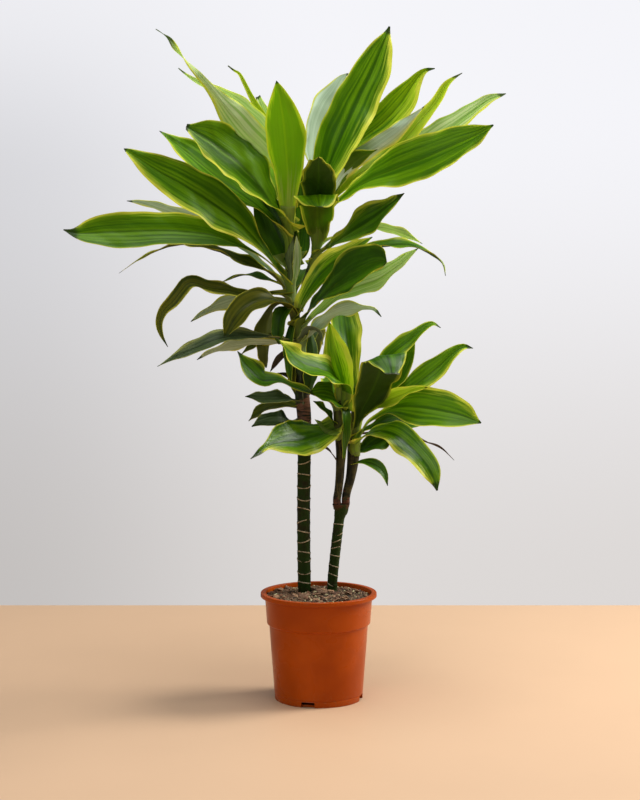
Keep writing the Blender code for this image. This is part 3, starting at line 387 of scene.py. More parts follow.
TALL_RIGHT_LEAVES: dict[str, Leaf] = {
    "front_shield": Leaf(
        ((0, 27, 692), (0, -20, 715), (0, -75, 745), (0, -130, 767), (0, -185, 780)), 50, belly=0.5, fold=10,
        tone=Tone.DEEP, margins=(1.8, 1.8), tip=3, ruffle=1.5,
    ),
    "front_arch": Leaf(
        ((1, 27, 665), (-1, 8, 690), (-2, -20, 712), (-2, -55, 727), (-2, -90, 732), (-1, -120, 727),
        (1, -142, 714)), 62, belly=0.64, shoulder=0.7, taper=0.42, neck=0.45, fold=-8, wave=4, waves=3,
        margins=(1.8, 1.8), tip=3, ruffle=2,
    ),
    "pale_blue_up": Leaf(
        ((1, 31, 697), (-9, 55, 765), (-5, 70, 816), (6, 80, 856), (22, 90, 886), (34, 98, 907),
        (44, 102, 916)), 44, (0, 90, 130), belly=0.64, taper=0.9, neck=0.5, tone=Tone.BLUE, margins=(0.7, 1),
    ),
    "tallest": Leaf(
        ((1, 29, 700), (4, 21, 745), (21, 20, 793), (40, 24, 837), (56, 32, 871), (75, 40, 909),
        (88, 47, 940), (98, 52, 964), (103, 55, 979)), 66, (0, -65, -85), fold=10, spread=(0.5, 0.62, 0.8,
        0.93, 1, 0.99, 0.93, 0.78, 0.5, 0.04), margins=(1.5, 5.5), base=0.6, tip=14,
    ),
    "high_right": Leaf(
        ((1, 32, 705), (20, 50, 762), (53, 60, 808), (93, 68, 841), (120, 74, 870), (137, 78, 894),
        (150, 80, 912), (160, 81, 919), (171, 82, 921)), 46, (0, -70, -75), spread=(0.25, 0.3, 0.45, 0.62,
        0.85, 1, 0.93, 0.45, 0.03), tone=Tone.BRIGHT, margins=(1, 6.5), base=0.6, tip=14,
    ),
    "lime_right": Leaf(
        ((1, 32, 700), (48, 50, 756), (98, 80, 792), (133, 100, 824), (158, 110, 855), (175, 116, 874),
        (189, 122, 898), (201, 126, 910), (215, 130, 919)), 28, (0, -40, -45), spread=(0.3, 0.4, 0.6, 0.9, 1,
        0.95, 0.78, 0.5, 0.03), tone=Tone.LIME, margins=(2, 2), tip=17,
    ),
    "pale_blue_right": Leaf(
        ((1, 33, 705), (24, 32, 742), (46, 34, 774), (78, 38, 800), (113, 44, 825), (134, 48, 844),
        (154, 52, 864)), 32, (0, 60, 70), neck=0.8, tone=Tone.BLUE, margins=(4, 0.8),
    ),
    "far_high_right": Leaf(
        ((1, 32, 710), (58, 70, 760), (133, 105, 797), (178, 125, 826), (223, 142, 857), (255, 154, 880),
        (284, 162, 891)), 41, (0, -40, -50), belly=0.62, taper=0.85, tone=Tone.PALE, margins=(1, 3.2), tip=14,
    ),
    "broad_high_right": Leaf(
        ((1, 28, 694), (31, 0, 726), (66, -25, 753), (107, -48, 770), (148, -70, 785), (191, -85, 803),
        (219, -95, 815), (240, -105, 827)), 60, (-10, -80, -80), fold=8, spread=(0.24, 0.24, 0.3, 0.46, 0.78,
        0.98, 1, 0.97, 0.84, 0.56, 0.03), margins=(1.8, 1.8), ruffle=1.3,
    ),
    "inner_blue": Leaf(
        ((0, 31, 700), (28, 30, 755), (55, 30, 785), (85, 25, 800)), 36, (0, 40, 40), neck=0.7, margins=(1,
        1),
    ),
    "dark_right": Leaf(
        ((-4, 28, 646), (17, 12, 662), (44, -10, 679), (70, -30, 696), (95, -48, 715), (120, -66, 735)), 50,
        (-10, -70, -75), taper=1.1, tone=Tone.DEEP, margins=(4, 1.6), tip=15,
    ),
    "pale_arch": Leaf(
        ((1, 32, 665), (40, 62, 679), (79, 85, 688), (113, 102, 683), (140, 112, 672), (156, 118, 664)), 27,
        (0, 25, 30), tone=Tone.PALE, margins=(0.8, 0.8),
    ),
    "olive_droop": Leaf(
        ((-14, 29, 632), (40, 55, 653), (97, 80, 660), (138, 90, 661), (167, 100, 648), (185, 105, 635),
        (190, 105, 616)), 36, (0, -15, -25), neck=0.7, tone=Tone.DEEP, margins=(1.7, 1),
    ),
    "hidden_back_low": Leaf(
        ((0, 33, 685), (-6, 85, 720), (-14, 145, 748), (-20, 200, 760), (-25, 250, 755)), 50, margins=(2, 2),
    ),
    "hidden_back_high": Leaf(
        ((0, 33, 702), (10, 85, 745), (22, 145, 785), (35, 205, 805), (46, 255, 810)), 54, margins=(2, 2),
    ),
}

SHORT_LEFT_LEAVES: dict[str, Leaf] = {
    "boat_tip": Leaf(
        ((29, 10, 430), (5, -8, 441), (-18, -24, 453), (-39, -36, 462), (-56, -43, 470), (-67, -45, 471),
        (-80, -48, 471), (-93, -50, 480), (-105, -54, 494), (-115, -56, 513)), 36, (0, 45, 60), fold=24,
        spread=(0.3, 0.38, 0.46, 0.46, 0.4, 0.36, 0.6, 0.92, 1, 0.7, 0.03), tone=Tone.DEEP, margins=(1.4, 2),
        tip=9,
    ),
    "glossy_front": Leaf(
        ((29, 12, 399), (11, -8, 392), (-20, -32, 386), (-46, -54, 385), (-66, -72, 383), (-77, -84, 378),
        (-86, -92, 371), (-95, -100, 365)), 62, (10, 50, 50), fold=8, spread=(0.4, 0.62, 0.88, 1, 1, 1, 0.9,
        0.55, 0.2, 0.13, 0.02), tone=Tone.GLOSSY, margins=(5, 1), tip=24,
    ),
    "lime_margin_arch": Leaf(
        ((30, 9, 425), (34, -4, 458), (19, -20, 478), (2, -38, 487), (-15, -52, 493), (-30, -66, 502),
        (-43, -76, 515), (-57, -88, 532)), 44, (10, 50, 60), wave=5, spread=(0.7, 0.8, 0.9, 1, 1, 1, 1, 0.85,
        0.55, 0.03), margins=(1, 5), ruffle=1.5,
    ),
    "upright_lime": Leaf(
        ((33, 8, 432), (37, 0, 456), (34, -6, 478), (28, -8, 500), (22, -6, 522), (18, 0, 539), (15, 6, 552)),
        40, (120, 100, 90), belly=0.5, neck=0.6, tone=Tone.BRIGHT, margins=(3, 8), base=0.7,
    ),
    "dried_strand": Leaf(
        ((28, 17, 345), (19, 5, 360), (10, -4, 369), (0, -10, 374)), 9, (0, 40, 40), wave=0, tone=Tone.DRIED,
        margins=(1, 1),
    ),
    "dark_small_left": Leaf(
        ((29, 12, 396), (18, 2, 412), (5, -4, 428), (-8, -8, 438)), 21, (0, 40, 50), tone=Tone.DEEP,
        margins=(0.8, 0.8), base=0,
    ),
    "hidden_back_left": Leaf(
        ((28, 12, 418), (26, 60, 440), (22, 110, 458), (18, 155, 462)), 42, margins=(2, 1.5),
    ),
    "under_arch": Leaf(
        ((30, 9, 424), (22, -8, 444), (6, -22, 452), (-12, -32, 452)), 46, (10, 50, 50), fold=6, spread=(0.5,
        0.85, 1, 0.9, 0.6, 0.1), margins=(0.3, 0.3),
    ),
    "dark_sheath": Leaf(
        ((31, 10, 430), (39, 0, 422), (40, -3, 400), (38, -2, 375), (36, 2, 352)), 15, spread=(0.7, 1, 1, 0.7,
        0.2), tone=Tone.DEEP, margins=(0.2, 0.2), base=0, tip=2,
    ),
}

SHORT_RIGHT_LEAVES: dict[str, Leaf] = {
    "upright_glossy": Leaf(
        ((58, 32, 430), (52, 38, 459), (47, 46, 491), (43, 56, 520), (40, 70, 543), (38, 90, 561),
        (37, 108, 573)), 46, belly=0.72, shoulder=1.3, taper=0.5, margins=(1.5, 5),
    ),
    "high_small_right": Leaf(
        ((58, 32, 430), (72, 36, 466), (102, 45, 498), (131, 54, 521), (152, 60, 538), (168, 65, 546),
        (181, 70, 540)), 28, (0, -45, -45), margins=(1.6, 1.4), tip=10,
    ),
    "behind_small_right": Leaf(
        ((58, 33, 426), (90, 48, 440), (114, 60, 462), (129, 70, 489), (138, 78, 513), (143, 84, 532)), 25,
        (0, -50, -60), margins=(2, 1),
    ),
    "arch_to_front": Leaf(
        ((52, 28, 376), (56, 14, 402), (65, -4, 430), (74, -22, 449), (82, -45, 470), (88, -66, 493),
        (92, -86, 507), (95, -104, 510), (99, -118, 500), (101, -127, 486)), 60, fold=-8, wave=4.5, waves=3,
        spread=(0.16, 0.18, 0.42, 0.74, 0.92, 1, 1, 0.98, 0.85, 0.35), tone=Tone.DEEP, margins=(1.8, 1.8),
        tip=3, ruffle=1.8,
    ),
    "long_small_right": Leaf(
        ((56, 32, 409), (98, 45, 432), (137, 55, 453), (170, 65, 476), (197, 72, 500), (215, 76, 511),
        (230, 80, 509)), 35, (0, -50, -55), belly=0.6, margins=(1, 3), tip=12,
    ),
    "lime_small_right": Leaf(
        ((56, 31, 405), (78, 6, 422), (97, -18, 437), (118, -36, 449), (136, -48, 457), (154, -58, 462)), 30,
        (0, -50, -50), tone=Tone.LIME, margins=(2, 1.5),
    ),
    "broad_right_low": Leaf(
        ((52, 28, 374), (69, 10, 400), (90, -5, 419), (114, -20, 430), (142, -35, 432), (171, -50, 429),
        (201, -64, 423), (229, -76, 413)), 60, (0, -60, -60), spread=(0.25, 0.22, 0.2, 0.25, 0.5, 0.87, 1,
        0.98, 0.86, 0.58, 0.03), margins=(4, 1.2),
    ),
    "under_broad": Leaf(
        ((53, 30, 385), (79, 40, 395), (105, 46, 405), (132, 52, 404), (159, 56, 400)), 46, (0, -45, -45),
        spread=(0.2, 0.2, 0.3, 0.7, 1, 0.95, 0.7, 0.1), tone=Tone.DEEP, margins=(1, 1),
    ),
    "droop_right": Leaf(
        ((50, 28, 366), (69, 0, 387), (87, -25, 396), (107, -45, 394), (125, -58, 382), (141, -70, 368),
        (155, -78, 351), (163, -82, 334), (167, -84, 318)), 40, (0, -38, -50), spread=(0.35, 0.5, 0.7, 0.9, 1,
        0.97, 0.85, 0.68, 0.06), tone=Tone.GLOSSY, margins=(1, 3.6), base=0, tip=14,
    ),
    "thin_tip_behind": Leaf(
        ((54, 30, 385), (120, 70, 385), (160, 90, 368), (185, 100, 356), (205, 105, 338)), 18, (0, -10, -10),
        tone=Tone.DRIED, margins=(1, 1), base=0,
    ),
    "small_low_right": Leaf(
        ((46, 27, 338), (60, 12, 347), (80, 0, 345), (94, -8, 334), (100, -12, 315)), 17, (0, -40, -40),
        wave=1, tone=Tone.DEEP, margins=(0.8, 0.8), base=0,
    ),
    "dark_low_right": Leaf(
        ((50, 29, 355), (75, 42, 367), (97, 55, 376), (120, 62, 380)), 34, (0, -50, -50), tone=Tone.DEEP,
        margins=(0.8, 0.8), base=0,
    ),
    "hidden_back_right": Leaf(
        ((57, 33, 408), (66, 80, 430), (75, 130, 445), (85, 180, 445)), 42, margins=(1.5, 2),
    ),
}


class Field:
    """One output of a node. Arithmetic on it adds Math nodes to its tree."""

    def __init__(self, sheet: "NodeSheet", node: Node, output: str | int | None = None) -> None:
        """Keep where the value comes from.

        Args:
            sheet: the sheet that the node is on.
            node: the node.
            output: which of its outputs, or None for the first enabled one.
        """
        self.sheet, self.node, self.output = sheet, node, output

    def __getitem__(self, output: str | int) -> "Field":
        """Another output of the same node."""
        return Field(self.sheet, self.node, output)

    def socket(self) -> NodeSocket:
        """The output's socket.

        Returns:
            The socket.
        """
        if self.output is None:
            return next(s for s in self.node.outputs if s.enabled)
        return self.node.outputs[self.output]

    def feed(self, key: str | int, value: Any) -> None:
        """Give one of the node's inputs its value or its link.

        Args:
            key: the name of an enabled socket, or its index.
            value: a field to link, or a plain value.
        """
        if isinstance(key, int):
            socket = self.node.inputs[key]
        else:
            socket = next(s for s in self.node.inputs if s.enabled and s.name == key)
        if isinstance(value, Field):
            self.sheet.tree.links.new(value.socket(), socket)
        else:
            socket.default_value = value

    def __add__(self, other: Any) -> "Field":
        """The sum."""
        return self.sheet.math("ADD", self, other)

    def __sub__(self, other: Any) -> "Field":
        """The difference."""
        return self.sheet.math("SUBTRACT", self, other)

    def __rsub__(self, other: Any) -> "Field":
        """A plain number less this value."""
        return self.sheet.math("SUBTRACT", other, self)

    def __mul__(self, other: Any) -> "Field":
        """The product."""
        return self.sheet.math("MULTIPLY", self, other)

    def __truediv__(self, other: Any) -> "Field":
        """The quotient."""
        return self.sheet.math("DIVIDE", self, other)

    def __pow__(self, other: Any) -> "Field":
        """This value to a power."""
        return self.sheet.math("POWER", self, other)

    def __lt__(self, other: Any) -> "Field":
        """1 where this value is less, else 0."""
        return self.sheet.math("LESS_THAN", self, other)

    def __gt__(self, other: Any) -> "Field":
        """1 where this value is greater, else 0."""
        return self.sheet.math("GREATER_THAN", self, other)

    def __abs__(self) -> "Field":
        """The value without its sign."""
        return self.sheet.math("ABSOLUTE", self)

    def ramp(self, low: float, high: float, start: float = 0.0, end: float = 1.0) -> "Field":
        """Step smoothly between two results.

        Args:
            low: the value where the step starts.
            high: the value where it ends.
            start: the result below low.
            end: the result above high.

        Returns:
            The stepped value.
        """
        step = self.sheet.add("ShaderNodeMapRange", {"interpolation_type": "SMOOTHSTEP"})
        for i, each in enumerate((self, low, high, start, end)):
            step.feed(i, each)
        return step


class NodeSheet:
    """Adds nodes to one tree and joins them."""

    def __init__(self, tree: NodeTree) -> None:
        """Keep the tree."""
        self.tree = tree

    def own(self, name: str) -> Field:
        """A node that the tree already has."""
        return Field(self, self.tree.nodes[name])

    def add(self, kind: str, settings: dict[str, Any] | None = None, **sockets: Any) -> Field:
        """Add a node.

        Args:
            kind: Blender's name for the node's type.
            settings: the node's own properties.
            sockets: the inputs by name, with an underscore for each space.

        Returns:
            The new node's first output.
        """
        made = Field(self, self.tree.nodes.new(kind))
        for name, value in (settings or {}).items():
            setattr(made.node, name, value)
        for name, value in sockets.items():
            made.feed(name.replace("_", " "), value)
        return made

    def math(self, operation: str, *values: Any, clamp: bool = False) -> Field:
        """Add a Math node on one to three values.

        Args:
            operation: what it works out.
            values: what it works on.
            clamp: whether the result stays within 0 to 1.

        Returns:
            The result.
        """
        made = self.add("ShaderNodeMath", {"operation": operation, "use_clamp": clamp})
        for i, value in enumerate(values):
            made.feed(i, value)
        return made

    def vector(self, operation: str, *values: Any) -> Field:
        """Add a Vector Math node.

        Args:
            operation: what it works out.
            values: what it works on.

        Returns:
            The result.
        """
        made = self.add("ShaderNodeVectorMath", {"operation": operation})
        for i, value in enumerate(values):
            made.feed(3 if operation == "SCALE" and i == 1 else i, value)
        return made["Value"] if operation == "LENGTH" else made

    def choose(self, factor: Any, a: Any, b: Any) -> Field:
        """Mix two numbers: a where the factor is 0, b where it is 1."""
        return self.add("ShaderNodeMix", Factor=factor, A=a, B=b)

    def mix(self, factor: Any, a: Any, b: Any) -> Field:
        """Mix two colours: a where the factor is 0, b where it is 1.

        Args:
            factor: the share of b.
            a: one colour.
            b: the other.

        Returns:
            The colour.
        """
        made = self.add("ShaderNodeMix", {"data_type": "RGBA"})
        for key, value in ((0, factor), (6, a), (7, b)):
            made.feed(key, (*value, 1.0) if isinstance(value, tuple) else value)
        return made[2]

    def noise(self, place: Any, scale: float, detail: float = 2.0, roughness: float = 0.5) -> Field:
        """Add a Noise texture on a place."""
        return self.add("ShaderNodeTexNoise", Vector=place, Scale=scale, Detail=detail, Roughness=roughness)

    def parts(self, vector: Any) -> Field:
        """Split a vector into X, Y and Z."""
        return self.add("ShaderNodeSeparateXYZ", Vector=vector)

    def object_place(self) -> Field:
        """The Object coordinates, in a material."""
        return self.add("ShaderNodeTexCoord")["Object"]

    def drawn_out(self, place: Field, scale: Point) -> Field:
        """Scale a place, so that a noise on it is drawn out along the smaller scales."""
        return self.add("ShaderNodeMapping", Vector=place, Scale=scale)

    def attribute(self, name: str) -> Field:
        """One of the mesh's own attributes, in a material."""
        return self.add("ShaderNodeAttribute", {"attribute_name": name})["Fac"]

    def position(self) -> Field:
        """Each point's place, in a geometry tree."""
        return self.add("GeometryNodeInputPosition")

    def named(self, name: str, kind: str = "FLOAT") -> Field:
        """One of the mesh's own attributes, in a geometry tree."""
        return self.add("GeometryNodeInputNamedAttribute", {"data_type": kind}, Name=name)

    def store(self, mesh: Field, name: str, value: Any, kind: str = "FLOAT", domain: str = "POINT") -> Field:
        """Store a field as a named attribute."""
        settings = {"data_type": kind, "domain": domain}
        return self.add("GeometryNodeStoreNamedAttribute", settings, Geometry=mesh, Name=name, Value=value)

    def coat(
        self, colour: Field, roughness: Any, height: Any, strength: float, depth: float, gloss: float = 0.5
    ) -> Field:
        """Give a material's own shader its looks.

        Args:
            colour: the base colour.
            roughness: the roughness.
            height: the relief of its bump.
            strength: how strongly that shows.
            depth: how deep it is, in metres.
            gloss: how strongly the surface reflects.

        Returns:
            The bump.
        """
        shader = self.own("Principled BSDF")
        bump = self.add("ShaderNodeBump", Strength=strength, Distance=depth, Height=height)
        looks = {"Base Color": colour, "Roughness": roughness, "Specular IOR Level": gloss, "Normal": bump}
        for key, value in looks.items():
            shader.feed(key, value)
        return bump


def new_tree(
    name: str, kind: str, inputs: dict[str, Any], outputs: dict[str, str]
) -> tuple[NodeSheet, Field, Field]:
    """Start a node group with named inputs and outputs.

    Args:
        name: the group's name.
        kind: ShaderNodeTree or GeometryNodeTree.
        inputs: each input's default value, or its socket type where it has none.
        outputs: each output's socket type.

    Returns:
        The sheet, the group's input node and its output node.
    """
    tree = bpy.data.node_groups.new(name, kind)
    sheet = NodeSheet(tree)
    for socket, value in inputs.items():
        if isinstance(value, str):
            tree.interface.new_socket(socket, in_out="INPUT", socket_type=value)
            continue
        of_type = "NodeSocketInt" if isinstance(value, int) else "NodeSocketFloat"
        tree.interface.new_socket(socket, in_out="INPUT", socket_type=of_type).default_value = value
    for socket, of_type in outputs.items():
        tree.interface.new_socket(socket, in_out="OUTPUT", socket_type=of_type)
    return sheet, sheet.add("NodeGroupInput"), sheet.add("NodeGroupOutput")


def new_growth(name: str, inputs: dict[str, Any]) -> tuple[NodeSheet, Field, Field]:
    """Start a geometry tree that takes a mesh and a finish.

    Args:
        name: the tree's name.
        inputs: the default value of each further input.

    Returns:
        The sheet, the tree's input node and its output node.
    """
    mesh = {"Geometry": "NodeSocketGeometry"}
    return new_tree(name, "GeometryNodeTree", {**mesh, **inputs, "Finish": "NodeSocketMaterial"}, mesh)


def hand_out(geometry: Field, get: Field, given: Field) -> NodeTree:
    """End a geometry tree: real geometry in the finish that it was given.

    Args:
        geometry: what the tree has made.
        get: the tree's input node.
        given: its output node.

    Returns:
        The tree.
    """
    sheet = geometry.sheet
    real = sheet.add("GeometryNodeRealizeInstances", Geometry=geometry)
    given.feed("Geometry", sheet.add("GeometryNodeSetMaterial", Geometry=real, Material=get["Finish"]))
    return sheet.tree


def new_object(name: str, data: Any) -> Object:
    """Make an object from its data and link it to the scene.

    Args:
        name: the object's name.
        data: its mesh, light or camera.

    Returns:
        The object.
    """
    obj = bpy.data.objects.new(name, data)
    bpy.context.scene.collection.objects.link(obj)
    return obj


def mesh_object(
    name: str, points: Iterable[Iterable[float]], edges: list, faces: list, **facts: list
) -> Object:
    """Make a mesh whose points carry attributes.

    Args:
        name: the object's name.
        points: the points in metres.
        edges: pairs of points.
        faces: rings of points.
        facts: a list of numbers or of vectors for each attribute.

    Returns:
        The object, linked to the scene.
    """
    mesh = bpy.data.meshes.new(name)
    mesh.from_pydata([tuple(p) for p in points], edges, faces)
    for key, values in facts.items():
        flat = np.asarray(values, np.float32)
        kind, slot = ("FLOAT", "value") if flat.ndim == 1 else ("FLOAT_VECTOR", "vector")
        mesh.attributes.new(key, kind, "POINT").data.foreach_set(slot, flat.ravel())
    return new_object(name, mesh)


def line_object(name: str, points: Iterable[Iterable[float]], **facts: list) -> Object:
    """Make a mesh line whose points carry attributes."""
    points = list(points)
    return mesh_object(name, points, [(i, i + 1) for i in range(len(points) - 1)], [], **facts)


def grid_object(
    name: str, rows: list[list[Vector]], finish: Material, closed: bool = False, **facts: list
) -> Object:
    """Make a smooth mesh from rows of points.

    Args:
        name: the object's name.
        rows: the points, row by row.
        finish: the material.
        closed: whether each row's last point joins its first.
        facts: a number for each point of each attribute, row by row.

    Returns:
        The object, linked to the scene.
    """
    wide = len(rows[0])
    faces = []
    for r in range(len(rows) - 1):
        for c in range(wide if closed else wide - 1):
            n = (c + 1) % wide
            faces.append((r * wide + c, r * wide + n, (r + 1) * wide + n, (r + 1) * wide + c))
    obj = mesh_object(name, [p for row in rows for p in row], [], faces, **facts)
    obj.data.materials.append(finish)
    obj.data.shade_smooth()
    return obj


def apply_modifiers(obj: Object) -> Object:
    """Keep an object's evaluated shape as its plain mesh.

    Args:
        obj: the object.

    Returns:
        The same object.
    """
    mesh = bpy.data.meshes.new_from_object(obj.evaluated_get(bpy.context.evaluated_depsgraph_get()))
    mesh.name = obj.name
    obj.modifiers.clear()
    obj.data = mesh
    return obj


def grow_with(obj: Object, tree: NodeTree, values: dict[str, Any]) -> Object:
    """Shape an object with a geometry tree and keep the result as its plain mesh.

    Args:
        obj: the object that goes into the tree.
        tree: the tree.
        values: the tree's inputs by name.

    Returns:
        The same object.
    """
    modifier = obj.modifiers.new(tree.name, "NODES")
    modifier.node_group = tree
    sockets = {item.name: item.identifier for item in tree.interface.items_tree if item.in_out == "INPUT"}
    for name, value in values.items():
        modifier[sockets[name]] = value
    return apply_modifiers(obj)


def mended(obj: Object, merge: float = 0.0) -> Object:
    """Merge an object's doubled points, or else close its holes, and turn every face outwards.

    Args:
        obj: the object.
        merge: how near doubled points lie. At 0 nothing is merged and holes are closed.

    Returns:
        The same object.
    """
    shape = bmesh.new()
    shape.from_mesh(obj.data)
    if merge:
        bmesh.ops.remove_doubles(shape, verts=shape.verts, dist=merge)
    else:
        bmesh.ops.holes_fill(shape, edges=[e for e in shape.edges if e.is_boundary], sides=0)
    bmesh.ops.recalc_face_normals(shape, faces=shape.faces)
    shape.to_mesh(obj.data)
    shape.free()
    return obj


def joined(name: str, pieces: list[Object]) -> Object:
    """Join several objects into the first and rename it.

    Args:
        name: the new name.
        pieces: the objects.

    Returns:
        The first of them.
    """
    with bpy.context.temp_override(
        active_object=pieces[0], object=pieces[0], selected_editable_objects=pieces, selected_objects=pieces
    ):
        bpy.ops.object.join()
    pieces[0].name = pieces[0].data.name = name
    return pieces[0]


def place_piece(obj: Object, node: str) -> None:
    """Hang a finished piece on the plant's one body, in a solid's stead.

    Args:
        obj: the piece.
        node: the solid that it stands for.
    """
    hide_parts(node)
    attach(obj, BODY)
    log.info("%s: %d faces for %s", obj.name, len(obj.data.polygons), node)


def round_place(radius: float, angle: float, z: float) -> Vector:
    """A point at a radius and an angle round the pot's axis."""
    return Vector((radius * math.cos(angle), radius * math.sin(angle), z))


def between(a: Colour, b: Colour, share: float) -> Colour:
    """The colour at a share of the way from one colour to another."""
    return tuple((1 - share) * c + share * d for c, d in zip(a, b))


def smooth_line(points: Iterable[Iterable[float]], count: int) -> tuple[np.ndarray, float]:
    """Space points evenly along a smooth curve.

    Args:
        points: the knots in millimetres.
        count: how many points are wanted.

    Returns:
        The points in metres, and the curve's length.
    """
    knots = np.array(points, float) * MM
    ends = np.vstack([2 * knots[0] - knots[1], knots, 2 * knots[-1] - knots[-2]])
    dense = []
    for i in range(len(knots) - 1):
        a, b, c, d = ends[i : i + 4]
        for t in np.linspace(0, 1, STEPS_PER_KNOT, endpoint=False):
            bend = 2 * a - 5 * b + 4 * c - d
            twist = 3 * b - a - 3 * c + d
            dense.append(0.5 * (2 * b + (c - a) * t + bend * t**2 + twist * t**3))
    dense = np.array([*dense, knots[-1]])
    along = np.concatenate([[0], np.cumsum(np.linalg.norm(np.diff(dense, axis=0), axis=1))])
    places = np.linspace(0, along[-1], count)
    return np.column_stack([np.interp(places, along, dense[:, k]) for k in range(3)]), float(along[-1])


@dataclass(frozen=True)
class BladeFrame:
    """One station of a blade: its midrib point, the directions there and its half width."""

    place: Vector
    side: Vector
    face: Vector
    t: float
    half: float


def blade_frames(leaf: Leaf, count: int) -> list[BladeFrame]:
    """Carry the blade's directions along its midrib without spinning them, then roll them.

    Args:
        leaf: the leaf.
        count: how many stations are wanted.

    Returns:
        The stations from the root to the tip.
    """
    places, _ = smooth_line(leaf.path, count)
    tangents = np.gradient(places, axis=0)
    tangents /= np.linalg.norm(tangents, axis=1)[:, None]
    heading = places[-1] - places[0]
    side = Vector((heading[1], -heading[0], 0)).normalized()
    frames, last = [], None
    for i, (place, tangent) in enumerate(zip(places, tangents)):
        way = Vector(tangent)
        if last is not None:
            side = last.rotation_difference(way) @ side
        side = (side - way * side.dot(way)).normalized()
        last = way
        t = i / (count - 1)
        roll = math.radians(float(np.interp(t, np.linspace(0, 1, len(leaf.roll)), leaf.roll)))
        turned = Quaternion(way, -roll) @ side
        frames.append(BladeFrame(Vector(place), turned, turned.cross(way), t, leaf.half_width(t)))
    return frames


@dataclass(frozen=True)
class Finish:
    """How a material looks.

    Attributes:
        name: the material's name.
    """

    name: str

    def make(self) -> Material:
        """Build the material.

        Returns:
            The material.
        """
        made = bpy.data.materials.new(self.name)
        made.use_nodes = True
        self.paint(NodeSheet(made.node_tree))
        return made

    def paint(self, sheet: NodeSheet) -> None:
        """Draw the finish.

        Args:
            sheet: the material's sheet.
        """
        raise NotImplementedError


@cache
def leaf_pattern() -> NodeTree:
    """The lines of a blade: broad streaks, fine parallel veins, ragged edges and mottling.

    Returns:
        A shader group from the leaf's own across and along values to four masks.
    """
    inputs = {"Across": 0.0, "Along": 0.0, "Seed": 0.0}
    outputs = {name: "NodeSocketFloat" for name in ("Streaks", "Veins", "Ragged", "Mottle")}
    sheet, taken, given = new_tree("leaf_pattern", "ShaderNodeTree", inputs, outputs)
    shift = taken["Seed"] * 7.0

    def lines(across: float, along: float, detail: float) -> Field:
        """Noise drawn out along the leaf."""
        x, y = taken["Across"] * across, taken["Along"] * along
        return sheet.noise(sheet.add("ShaderNodeCombineXYZ", X=x, Y=y, Z=shift), 1.0, detail)

    given.feed("Streaks", lines(6.0, 1.3, 3.0).ramp(0.36, 0.64))
    given.feed("Veins", lines(34.0, 1.6, 2.0).ramp(0.32, 0.68))
    given.feed("Ragged", lines(13.0, 5.0, 3.0).ramp(0.3, 0.7, -1.0, 1.0))
    given.feed("Mottle", lines(3.0, 9.0, 4.0))
    return sheet.tree


